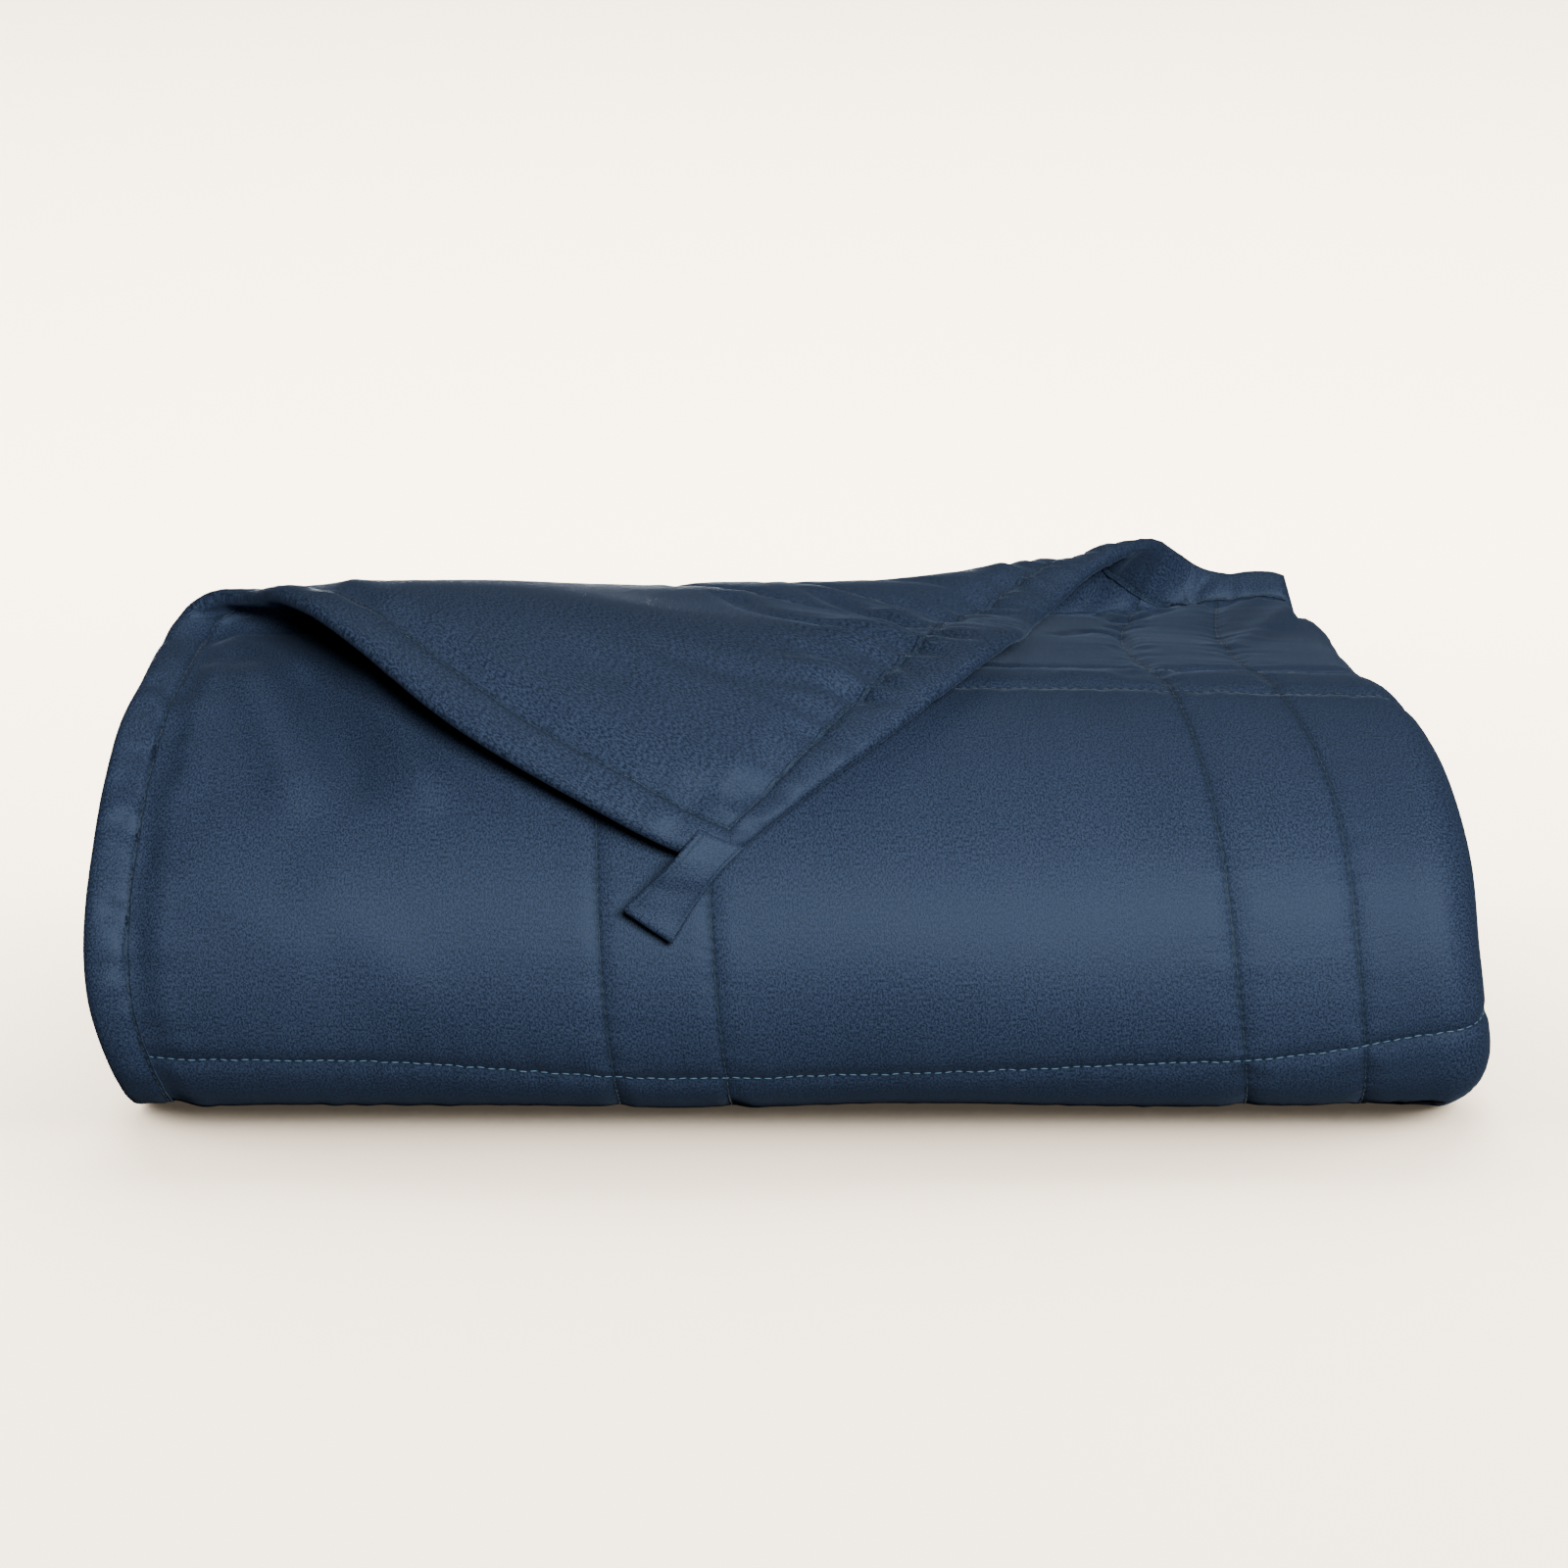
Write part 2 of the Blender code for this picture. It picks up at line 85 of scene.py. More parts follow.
MIDDLE_DRIFT = (0.40, 0.15)   # where the cloth drifts in the middle: share of the width, reach
RIGHT_DRIFT = (0.889, 0.045)  # and near the right side
SLIP_STARTS = (0.24, 0.11)    # t where the cloth starts to slip down the front, and over what
SLIP_ENDS = (0.44, 0.16)      # the same where the slip ends

# %% Tables of the folds' unevenness
ROLLS = [  # share of the way from the left edge to the back edge, radius of the rolled crease
    (0.00, 0.0112),
    (0.20, 0.0102),
    (0.45, 0.0078),
    (0.70, 0.0070),
    (0.90, 0.0106),
    (1.00, 0.0140),
]
RIGHT_EDGE = [  # share from the crease to the corner, bow outwards, upwards
    (0.00, 0.0000, 0.0000),
    (0.20, 0.0020, 0.0130),
    (0.40, 0.0160, 0.0010),
    (0.60, 0.0445, 0.0010),
    (0.80, 0.0344, 0.0020),
    (1.00, 0.0000, 0.0000),
]
LEFT_EDGE = [  # the same for the turned left edge, and how far it moves to the right
    (-0.42, 0.0000, 0.0000, 0.0000),
    (-0.30, 0.0000, 0.0032, 0.0000),
    (-0.20, 0.0000, 0.0076, 0.0006),
    (-0.10, 0.0000, 0.0100, 0.0030),
    (0.00, 0.0000, 0.0122, 0.0034),
    (0.05, 0.0008, 0.0128, 0.0028),
    (0.10, 0.0015, 0.0085, 0.0020),
    (0.20, 0.0000, 0.0050, 0.0026),
    (0.30, 0.0027, 0.0102, -0.0002),
    (0.45, 0.0064, 0.0123, -0.0030),
    (0.60, 0.0085, 0.0096, -0.0054),
    (0.80, 0.0048, 0.0047, -0.0040),
    (1.00, 0.0000, 0.0000, 0.0000),
]
SIDES = [  # t, left, right quilting line, right
    (0.000, -0.175, 0.136, 0.2080),
    (0.100, -0.192, 0.122, 0.2050),
    (0.170, -0.2140, 0.123, 0.2060),
    (0.205, -0.2170, 0.1285, 0.2110),
    (0.250, -0.2175, 0.1345, 0.2180),
    (0.290, -0.2195, 0.1390, 0.2210),
    (0.330, -0.2215, 0.1435, 0.2235),
    (0.373, -0.2210, 0.1495, 0.2285),
    (0.600, -0.2160, 0.1420, 0.2200),
    (0.700, -0.2120, 0.1390, 0.2150),
    (1.200, -0.2130, 0.1400, 0.2100),
]
RIGHT_LINE = 0.809       # where that quilting line is, as a share of the width
SIDE_SHARE = 0.045       # at each side, the folds' share of the width keeps its true size
LEAN = [  # t, how far the top ply's left edge leans in
    (0.000, 0.0030),
    (0.173, 0.0030),
    (0.215, 0.0030),
    (0.270, 0.0000),
    (0.335, 0.0010),
    (0.373, 0.0070),
    (0.420, 0.0080),
    (1.200, 0.0100),
]
HEIGHTS = [  # x, the stack's height as a share of its full height
    (-0.240, 0.990),
    (-0.120, 1.004),
    (0.000, 1.000),
    (0.120, 1.000),
    (0.190, 0.985),
    (0.240, 0.970),
]
BACK_LIFTS = [  # share of the width, how far the top's back edge stands up, moves back and curls
    (0.00, 0.0000, 0.0000, 0.0000),
    (0.70, 0.0000, 0.0000, 0.0000),
    (0.84, 0.0040, 0.0020, 0.0060),
    (0.90, 0.0075, 0.0050, 0.0095),
    (0.96, 0.0085, 0.0090, 0.0085),
    (1.00, 0.0030, 0.0080, 0.0040),
]
DRIFTS = [  # t, how far the cloth slips to the right: in the middle, and near the right side
    (0.000, 0.0000, 0.0000),
    (0.150, 0.0000, 0.0030),
    (0.215, 0.0000, 0.0020),
    (0.240, 0.0002, 0.0040),
    (0.300, 0.0015, 0.0050),
    (0.340, 0.0032, 0.0040),
    (0.400, 0.0030, 0.0030),
    (1.200, 0.0000, 0.0000),
]
SLIPS = [  # x, how far the cloth slips down the front
    (-0.240, 0.0000),
    (-0.130, 0.0005),
    (-0.065, 0.0060),
    (0.020, 0.0068),
    (0.100, 0.0020),
    (0.165, -0.0020),
    (0.215, -0.0110),
    (0.240, -0.0120),
]

# %% Lengths of the cloth's stretches
OUTER_BEND = 1.5 * STRIP + FRONT_SQUARE / 3
INNER_RADIUS = 0.5 * STRIP
TOP_HALF = 1.5 * PITCH
FLOOR = (PITCH - PLY) / 2
BOTTOM_END = FRONT_BEND - FRONT_LEAN * math.pi / 2
STRETCHES = [  # along t: name, length
    ("top", BACK_EDGE - FRONT_BEND),
    ("front", math.pi * (OUTER_BEND + TOP_HALF)),
    ("bottom", BACK_BEND - BOTTOM_END),
    ("back", math.pi * INNER_RADIUS),
    ("third", BACK_BEND - INNER_BEND),
    ("inner", math.pi * INNER_RADIUS),
    ("second", INNER_EDGE - INNER_BEND),
]
PLY_RUN = WIDTH - TOP_HALF - PLY / 2
INNER_SHORT = 0.004      # how much shorter the innermost ply is
RUNS = [  # along u: name, length
    ("ply1", PLY_RUN),
    ("wrap", math.pi * TOP_HALF),
    ("ply4", PLY_RUN - PITCH),
    ("fold", math.pi * PITCH / 2),
    ("ply3", PLY_RUN - PITCH),
    ("tuck", math.pi * PITCH / 2),
    ("ply2", PLY_RUN - INNER_SHORT),
]


def starts(stretches):
    """Where each named stretch starts, and where the last one ends."""
    ends = np.cumsum([length for _, length in stretches])
    return dict(zip([name for name, _ in stretches], [0.0, *ends[:-1]])), float(ends[-1])


T_STARTS, T_END = starts(STRETCHES)
U_STARTS, U_END = starts(RUNS)
print(f"cloth {U_END:.3f} m long, {T_END:.3f} m wide")


# %% Soft steps and curves through tables
def smooth(x):
    """0 below 0, 1 above 1, and a soft step between."""
    x = np.clip(x, 0.0, 1.0)
    return x * x * (3.0 - 2.0 * x)


def bell(x, width):
    """1 where x is 0, and a soft fall to 0 on both sides."""
    return np.exp(-((x / width) ** 2))


def curve_through(table, column, at):
    """A smooth curve through a table's rows, read at each value of the first column."""
    xs = np.array([row[0] for row in table])
    ys = np.array([row[column] for row in table])
    slopes = np.gradient(ys, xs)
    at = np.clip(at, xs[0], xs[-1])
    i = np.clip(np.searchsorted(xs, at) - 1, 0, len(xs) - 2)
    span = xs[i + 1] - xs[i]
    s = (at - xs[i]) / span
    return (
        ys[i] * (1 + 2 * s) * (1 - s) ** 2
        + slopes[i] * span * s * (1 - s) ** 2
        + ys[i + 1] * s * s * (3 - 2 * s)
        + slopes[i + 1] * span * s * s * (s - 1)
    )


# %% Fold lengthwise: from u to left and right
def across(u):
    """(x, h): where u lies from left to right, and how far above the strip's middle."""
    x, h = np.zeros_like(u), np.zeros_like(u)
    left, far = -WIDTH / 2, -WIDTH / 2 + PLY_RUN
    for name, _ in RUNS:
        on = (u >= U_STARTS[name] - 1e-9) if name != "ply1" else np.ones_like(u, bool)
        d = u[on] - U_STARTS[name]
        if name == "ply1":
            x[on], h[on] = left + d, TOP_HALF
        elif name == "wrap":
            turn = d / TOP_HALF
            x[on], h[on] = far + TOP_HALF * np.sin(turn), TOP_HALF * np.cos(turn)
        elif name == "ply4":
            x[on], h[on] = far - d, -TOP_HALF
        elif name == "fold":
            turn = d / (PITCH / 2)
            x[on] = left + PITCH - PITCH / 2 * np.sin(turn)
            h[on] = -PITCH - PITCH / 2 * np.cos(turn)
        elif name == "ply3":
            x[on], h[on] = left + PITCH + d, -PITCH / 2
        elif name == "tuck":
            turn = d / (PITCH / 2)
            x[on], h[on] = far + PITCH / 2 * np.sin(turn), -PITCH / 2 * np.cos(turn)
        else:
            x[on], h[on] = far - d, PITCH / 2
    return x, h


# %% Fold across: from t to front, back and height
def front_turn(share):
    """How far the front bend has turned, at a share of its length along the top ply."""
    radius = OUTER_BEND + TOP_HALF
    turn = math.pi * share
    for _ in range(6):
        length = radius * turn + FRONT_LEAN * np.sin(turn) + FRONT_SQUARE / 2 * np.sin(2 * turn)
        slope = radius + FRONT_LEAN * np.cos(turn) + FRONT_SQUARE * np.cos(2 * turn)
        turn = turn + (radius * math.pi * share - length) / slope
    return turn


def along(t, h, back_edge):
    """(y, z) of the strip at t, h above its middle, towards its outer side."""
    y, z = np.zeros_like(t), np.zeros_like(t)
    for name, length in STRETCHES:
        on = (t >= T_STARTS[name] - 1e-9) if name != "top" else np.ones_like(t, bool)
        share, out = (t[on] - T_STARTS[name]) / length, h[on]
        if name == "top":
            edge = back_edge[on] + STAGGER * (TOP_HALF - out)
            y[on], z[on] = edge + (FRONT_BEND - edge) * share, 3.5 * STRIP + out
        elif name == "front":
            turn = front_turn(share)
            sin, cos = np.sin(turn), np.cos(turn)
            inwards = (OUTER_BEND + out) * sin + FRONT_LEAN * (turn / 2 + np.sin(2 * turn) / 4)
            inwards += FRONT_SQUARE * (sin / 2 + np.sin(3 * turn) / 6)
            down = OUTER_BEND * (1 - cos) - out * cos + FRONT_LEAN * sin**2 / 2
            down += FRONT_SQUARE * (cos / 2 - np.cos(3 * turn) / 6 - 1 / 3)
            y[on], z[on] = FRONT_BEND - inwards, 3.5 * STRIP - down
        elif name == "bottom":
            y[on], z[on] = BOTTOM_END + length * share, STRIP / 2 - out
        elif name == "back":
            radius, turn = INNER_RADIUS + out, math.pi * share
            y[on], z[on] = BACK_BEND + radius * np.sin(turn), STRIP - radius * np.cos(turn)
        elif name == "third":
            y[on], z[on] = BACK_BEND - length * share, 1.5 * STRIP + out
        elif name == "inner":
            radius, turn = INNER_RADIUS - out, math.pi * share
            y[on], z[on] = INNER_BEND - radius * np.sin(turn), 2 * STRIP - radius * np.cos(turn)
        else:
            edge = INNER_EDGE - STAGGER * (TOP_HALF + out) / 2
            y[on], z[on] = INNER_BEND + (edge - INNER_BEND) * share, 2.5 * STRIP - out
    return y, z


# %% Place the folds on an uneven stack
def stacked(x, h, t, lean):
    """A point of the folded stack, with its uneven sides and height."""
    left, line, right = (curve_through(SIDES, column, t) for column in (1, 2, 3))
    share = (x + WIDTH / 2) / WIDTH
    a, b, c = SIDE_SHARE, RIGHT_LINE, 1 - SIDE_SHARE
    start, end = left + a * WIDTH, right - a * WIDTH
    inner, past = np.clip(share, a, c), np.clip((share - b) / (c - b), 0, 1)
    even = start + (line - start) * (inner - a) / (b - a)
    all_even = start + (line - start) * (c - a) / (b - a)
    x = even + (end - all_even) * past**2 + (share - inner) * WIDTH
    x = x + lean * curve_through(LEAN, 1, t) * np.clip(1 - share / 0.5, 0, 1) ** 2
    for column, (place, reach) in ((1, MIDDLE_DRIFT), (2, RIGHT_DRIFT)):
        x = x + curve_through(DRIFTS, column, t) * bell(share - place, reach)
    down = smooth((t - SLIP_STARTS[0]) / SLIP_STARTS[1])
    down = down * (1 - smooth((t - SLIP_ENDS[0]) / SLIP_ENDS[1]))
    t = t + down * curve_through(SLIPS, 1, x)
    y, z = along(t, h, BACK_EDGE - BACK_SLANT * share)
    z = (z - FLOOR) * (1 + (curve_through(HEIGHTS, 1, x) - 1) * smooth(z / (4 * STRIP)))
    near_edge = np.clip(1 - t / BACK_LIFT_REACH, 0, 1) ** 2 * lean
    y = y + near_edge * curve_through(BACK_LIFTS, 2, share)
    z = z + near_edge * curve_through(BACK_LIFTS, 1, share)
    curl = np.clip(1 - t / BACK_CURL_REACH, 0, 1) ** 1.5 * lean
    z = z + curl * curve_through(BACK_LIFTS, 3, share)
    return np.stack([x + CENTRING[0], y + CENTRING[1], z], axis=-1)


# %% Turn the corner over
def turned(u, t):
    """(from the left, t, height) of the top ply's cloth, which rolls over along the crease.

    e runs along the crease and n across it.  w is how far the cloth has gone past the crease,
    l where it is along it, and s how far out it then lies.
    """
    cloth = t * CREASE_LEFT / CREASE_T
    from_left, from_back = u / CREASE_BACK, cloth / CREASE_LEFT
    past = 1 - from_left - from_back
    start, end = np.array([0.0, CREASE_T]), np.array([CREASE_BACK, 0.0])
    crease = np.linalg.norm(end - start)
    e = (end - start) / crease
    n = np.array([-e[1], e[0]])
    corner = np.array(CORNER) - start
    l_corner, s_corner = corner @ e, corner @ n
    roll = curve_through(ROLLS, 1, from_left)
    w = np.maximum(past, 0) * (s_corner + math.pi * roll)
    l = from_left * crease + np.maximum(past, 0) * l_corner
    turn = np.minimum(w / roll, math.pi)
    beyond = np.maximum(w - math.pi * roll, 0)
    s = -roll * np.sin(turn) + beyond
    bow = np.clip(past, 0, 1)
    a = start[0] + l * e[0] + s * n[0]
    b = start[1] + l * e[1] + s * n[1]
    by_right = (1 - np.clip(from_back, 0, 1)) ** 3
    by_left = (1 - np.clip(from_left, 0, 1)) ** 3
    right = by_right * curve_through(RIGHT_EDGE, 1, bow)
    left = by_left * curve_through(LEFT_EDGE, 1, bow)
    a = a + RIGHT_BOWS[0] * right + LEFT_BOWS[0] * left
    b = b + RIGHT_BOWS[1] * right + LEFT_BOWS[1] * left
    free_edge = 1 - np.clip(from_left / 0.5, 0, 1)
    rest = FLAP_REST + FLAP_LIFT * free_edge * (1 - smooth(beyond / LIFT_ENDS))
    height = roll * (1 - np.cos(turn)) + (rest - 2 * roll) * smooth(beyond / FLAP_SETTLES)
    height = height + by_right * curve_through(RIGHT_EDGE, 2, bow)
    rise, slide = (by_left * curve_through(LEFT_EDGE, column, past) for column in (2, 3))
    flat = past <= 0
    return np.where(flat, u, a) + slide, np.where(flat, t, b), np.where(flat, 0.0, height) + rise


# %% The cloth's middle, and which way it faces
def sheet(u, t):
    """The middle of the cloth at each (u, t)."""
    u, t = np.broadcast_arrays(np.asarray(u, float), np.asarray(t, float))
    shape = u.shape
    u, t = u.ravel().copy(), t.ravel().copy()
    x, h = across(u)
    over = (u < CREASE_BACK) & (t < CREASE_REACH * CREASE_T)
    a, b, height = turned(u[over], t[over])
    x[over], h[over], t[over] = a - WIDTH / 2, h[over] + height, b
    lean = (u < U_STARTS["wrap"]).astype(float)
    return stacked(x, h, t, lean).reshape(shape + (3,))


def facing(u, t, step=0.0004, of=sheet):
    """The outward direction at each (u, t) of the cloth, or of the loop."""
    du = of(u + step, t) - of(u - step, t)
    dt = of(u, t + step) - of(u, t - step)
    n = np.cross(dt, du)
    return n / np.linalg.norm(n, axis=-1, keepdims=True)


print("corner hangs at", sheet(0.0, 0.0).round(3))

# %% [markdown]
# ## The quilted cloth
#
# Two layers of sateen hold the filling between them.  Double lines of stitching, 36 mm apart,
# cross it both ways and leave large plain squares.  A line of stitching pulls the layers
# together, so the cloth is thinnest there, and the gathered cloth beside it ripples.
# The mesh is one closed grid in (u, t).  Its lines crowd together where the cloth has detail.

# %% Where the quilting lines are
SQUARE = 0.203           # from one double line to the next
DOUBLE = 0.036           # between the two lines of a pair
U_LINES = [0.162 + SQUARE * i + side for i in range(8) for side in (0.0, DOUBLE)]
PALE_T = 0.358           # the line whose thread is painted paler, a painted highlight
T_LINES = [0.188, 0.215, PALE_T, 0.394, 0.560, 0.596, 0.763, 0.800, 0.966, 1.000]
HEM_T = BINDING_WIDTH * CREASE_T / CREASE_LEFT   # the binding's width, along t, at the back edge


def from_nearest(values, lines):
    """How far each value is from the nearest line."""
    return np.min([abs(values - line) for line in lines], axis=0)


RUN_OUT = (0.105, 0.155)  # between these places the front bend's two lines run out to the left
NO_LINE = 0.05           # where they have run out, they count as this far away


def from_t_lines(u, t):
    """How far t is from the nearest line of quilting that runs along the blanket."""
    faded = 1 - smooth((u - RUN_OUT[0]) / (RUN_OUT[1] - RUN_OUT[0]))
    front_pair = from_nearest(t, T_LINES[:2]) + NO_LINE * faded
    return np.minimum(front_pair, from_nearest(t, T_LINES[2:]))


WAVES = 18               # waves in one pattern of unevenness
WAVES_TOGETHER = 4.5     # how high they mostly add up


def uneven(u, t, u_size, t_size, seed):
    """Soft unevenness, mostly between -1 and 1, with waves of these sizes along u and t."""
    rng = np.random.default_rng(seed)
    total = np.zeros(np.broadcast(u, t).shape)
    for _ in range(WAVES):
        angle, phase = rng.uniform(0, 2 * math.pi, 2)
        pace = 2 * math.pi * rng.uniform(0.6, 1.5)
        total += np.cos(pace * (np.cos(angle) * u / u_size + np.sin(angle) * t / t_size) + phase)
    return total / WAVES_TOGETHER


# %% How thick the cloth is
HEM_HALF = 0.0010        # half the cloth's thickness inside the binding
LOFT = 0.0002            # how much fuller each side is between the lines than the plain ply
FULL_AFTER = 0.011       # from the binding to full thickness
VALLEY = 0.0011          # how much a line of quilting pulls each side in
VALLEY_WIDTH = 0.0034
PUFF = 0.0005            # and the softer fall towards it
PUFF_WIDTH = 0.016


def half_thickness(u, t):
    """How far each side of the cloth is from its middle."""
    inset = np.minimum.reduce([u - BINDING_WIDTH, U_END - BINDING_WIDTH - u,
                               t - HEM_T, T_END - BINDING_WIDTH - t])
    near = np.minimum(from_nearest(u, U_LINES), from_t_lines(u, t))
    pulled = VALLEY * bell(near, VALLEY_WIDTH) + PUFF * bell(near, PUFF_WIDTH)
    full = smooth(inset / FULL_AFTER)
    return HEM_HALF + (PLY / 2 + LOFT - HEM_HALF) * full - pulled * full


# %% How uneven the cloth lies
FOLDS = [  # u and t of one end, u and t of the other, width, height of soft folds in the cloth
    (0.3335, 0.0365, 0.3510, 0.0355, 0.0030, -0.0016),   # the hollow right of the turned corner
    (0.3510, 0.0355, 0.3600, 0.0525, 0.0030, -0.0014),
    (0.3600, 0.0525, 0.3825, 0.0265, 0.0034, -0.0020),
    (0.3825, 0.0265, 0.3900, 0.0145, 0.0030, -0.0014),
    (0.3385, 0.1090, 0.3520, 0.0870, 0.0034, -0.0015),
    (0.3520, 0.0870, 0.3655, 0.0945, 0.0030, -0.0012),
    (0.3655, 0.0945, 0.3665, 0.1335, 0.0036, -0.0014),
    (0.3580, 0.0695, 0.3730, 0.0695, 0.0028, -0.0012),
    (0.3580, 0.1390, 0.3740, 0.1390, 0.0030, -0.0010),
    (0.4440, 0.0130, 0.4170, 0.0865, 0.0060, 0.0018),    # the edge of the flat part on the right
    (0.4170, 0.0865, 0.3990, 0.1270, 0.0060, 0.0014),
    (0.3275, 0.2040, 0.3470, 0.2040, 0.0040, 0.0012),
    (0.3505, 0.2015, 0.3640, 0.1975, 0.0034, -0.0010),
    (0.3640, 0.1975, 0.3900, 0.1845, 0.0034, -0.0012),
    (0.3900, 0.1845, 0.4400, 0.1770, 0.0036, -0.0012),
    (0.0803, 0.0080, 0.0846, 0.0181, 0.0040, 0.0018),   # on the turned corner
    (0.0846, 0.0181, 0.0702, 0.0368, 0.0040, 0.0018),
    (0.0702, 0.0368, 0.0623, 0.0546, 0.0040, 0.0018),
    (0.0935, 0.0080, 0.0994, 0.0171, 0.0038, 0.0018),
    (0.0994, 0.0171, 0.0998, 0.0323, 0.0038, 0.0018),
    (0.1057, 0.0080, 0.1092, 0.0157, 0.0040, 0.0018),
    (0.1092, 0.0157, 0.1011, 0.0286, 0.0040, 0.0018),
    (0.1011, 0.0286, 0.0884, 0.0363, 0.0040, 0.0018),
    (0.1221, 0.0080, 0.1248, 0.0244, 0.0044, 0.0022),
    (0.1248, 0.0244, 0.1258, 0.0426, 0.0044, 0.0022),
    (0.1258, 0.0426, 0.1457, 0.0621, 0.0044, 0.0022),
    (0.1386, 0.0080, 0.1468, 0.0153, 0.0042, 0.0022),
    (0.1468, 0.0153, 0.1672, 0.0262, 0.0042, 0.0022),
    (0.1672, 0.0262, 0.1831, 0.0502, 0.0042, 0.0022),
    (0.1821, 0.0080, 0.2003, 0.0176, 0.0042, 0.0022),
    (0.2003, 0.0176, 0.2038, 0.0311, 0.0042, 0.0022),
    (0.2300, 0.0080, 0.2380, 0.0300, 0.0044, 0.0018),
    (0.2380, 0.0300, 0.2300, 0.0520, 0.0044, 0.0018),
    (0.0503, 0.0637, 0.0394, 0.0567, 0.0100, 0.0018),
    (0.0124, 0.0305, 0.0237, 0.0275, 0.0046, 0.0004),
    (0.0237, 0.0275, 0.0308, 0.0103, 0.0046, 0.0004),
    (0.0875, 0.0090, 0.0920, 0.0240, 0.0035, -0.0012),
    (0.0995, 0.0090, 0.1045, 0.0200, 0.0035, -0.0012),
    (0.1140, 0.0090, 0.1170, 0.0300, 0.0040, -0.0012),
    (0.1300, 0.0090, 0.1360, 0.0300, 0.0040, -0.0014),
    (0.1580, 0.0100, 0.1760, 0.0260, 0.0050, -0.0014),
    (0.0040, 0.2380, 0.0220, 0.2475, 0.0030, -0.0018),   # along the left side
    (0.0040, 0.2540, 0.0240, 0.2600, 0.0030, -0.0018),
    (0.0050, 0.2780, 0.0200, 0.2900, 0.0034, -0.0014),
    (0.0060, 0.3060, 0.0190, 0.3190, 0.0034, -0.0012),
    (0.0030, 0.2250, 0.0160, 0.2340, 0.0030, -0.0016),
    (0.0030, 0.2460, 0.0150, 0.2540, 0.0028, -0.0014),
    (0.0030, 0.2650, 0.0170, 0.2740, 0.0030, -0.0014),
    (0.0380, 0.2160, 0.0650, 0.2750, 0.0080, 0.0034),    # in the hollow under the corner
    (0.0780, 0.2120, 0.1080, 0.2720, 0.0080, 0.0036),
    (0.0560, 0.2120, 0.0860, 0.2700, 0.0070, -0.0030),
    (0.0300, 0.2900, 0.0720, 0.3260, 0.0110, 0.0010),
    (0.0700, 0.2980, 0.1100, 0.3400, 0.0110, 0.0009),
]


def fold_heights(u, t, folds):
    """Long soft ridges (height above 0) and hollows (below 0), fading out at both ends."""
    total = np.zeros(np.broadcast(u, t).shape)
    for u0, t0, u1, t1, width, height in folds:
        du, dt = u1 - u0, t1 - t0
        length = math.hypot(du, dt)
        share = ((u - u0) * du + (t - t0) * dt) / length**2
        beside = ((u - u0) * dt - (t - t0) * du) / length
        ends = smooth(share / 0.3 + 0.5) * smooth((1 - share) / 0.3 + 0.5)
        total += height * ends * bell(beside, width)
    return total


BROAD = 0.0005           # heights of the broad waves,
RIPPLE = 0.00034         # of the ripples beside the quilting,
LEFT_RIPPLE = 0.0006     # beside the binding on the left,
BACK_RIPPLE = 0.0008     # and beside the binding at the back
RIPPLE_REACH = 0.011
RIPPLE_LENGTH = 0.030    # size of one ripple away from the line that it starts from
RIPPLE_STEP = 0.0105     # and along that line


def unevenness(u, t):
    """How far the cloth stands out from its smooth folds."""
    from_u, from_t = from_nearest(u, U_LINES), from_t_lines(u, t)
    broad = BROAD * uneven(u, t, 0.13, 0.10, 3)
    by_u = RIPPLE * np.exp(-from_u / RIPPLE_REACH) * uneven(u, t, RIPPLE_LENGTH, RIPPLE_STEP, 5)
    by_t = RIPPLE * np.exp(-from_t / RIPPLE_REACH) * uneven(u, t, RIPPLE_STEP, RIPPLE_LENGTH, 7)
    by_left = LEFT_RIPPLE * bell(u - 0.020, 0.014) * uneven(u + 0.8 * t, t, 0.050, 0.0125, 9)
    by_back = BACK_RIPPLE * bell(t - 0.018, 0.016) * uneven(u, t + 0.5 * u, 0.0125, 0.040, 11)
    return broad + by_u + by_t + by_left + by_back + fold_heights(u, t, FOLDS)


# %% Crowd the grid's lines where there is detail
# A density is written as 1 / spacing, with the spacing in metres.
def crowded(places, density, count):
    """count places, spread so that they are close together where the density is high."""
    steps = (density[1:] + density[:-1]) / 2 * np.diff(places)
    run = np.concatenate([[0.0], np.cumsum(steps)])
    return np.interp(np.linspace(0, run[-1], count), run, places)


def near_lines(places, lines, reach=0.005):
    """1 near a line of quilting, and 0 further off than reach."""
    return np.exp(-((from_nearest(places, lines) / reach) ** 4))


def within(places, first, last):
    """Whether each place lies between the first and the last."""
    return (places > first) & (places < last)


OUTER_PLY_END = U_STARTS["ply4"]
EDGE_IN = 0.0016         # the cloth's edge, inside its binding
RIPPLED = (0.055, 0.215)  # the columns that cross the turned corner's ripples


def column_places():
    """The grid's lines across u."""
    at = np.linspace(EDGE_IN, OUTER_PLY_END, 4001)
    density = 1 / 0.0042 + near_lines(at, U_LINES) / 0.0020 + (at < 0.030) / 0.0036
    density += (at > U_STARTS["wrap"]) / 0.0060 + within(at, *RIPPLED) / 0.0048
    outer = crowded(at, density, 192)
    at = np.linspace(OUTER_PLY_END, U_END - EDGE_IN, 8001)
    turns = within(at, U_STARTS["fold"], U_STARTS["ply3"])
    turns = turns | within(at, U_STARTS["tuck"], U_STARTS["ply2"])
    hidden = crowded(at, 1 / 0.060 + turns / 0.0022 + (at > U_END - 0.03) / 0.008, 42)
    return np.concatenate([outer, hidden[1:]])


FOLLOW = 0.210           # up to here the rows follow the turned corner's crease
FRONT_END = 0.405        # from here on the cloth is hidden underneath, at the back or inside


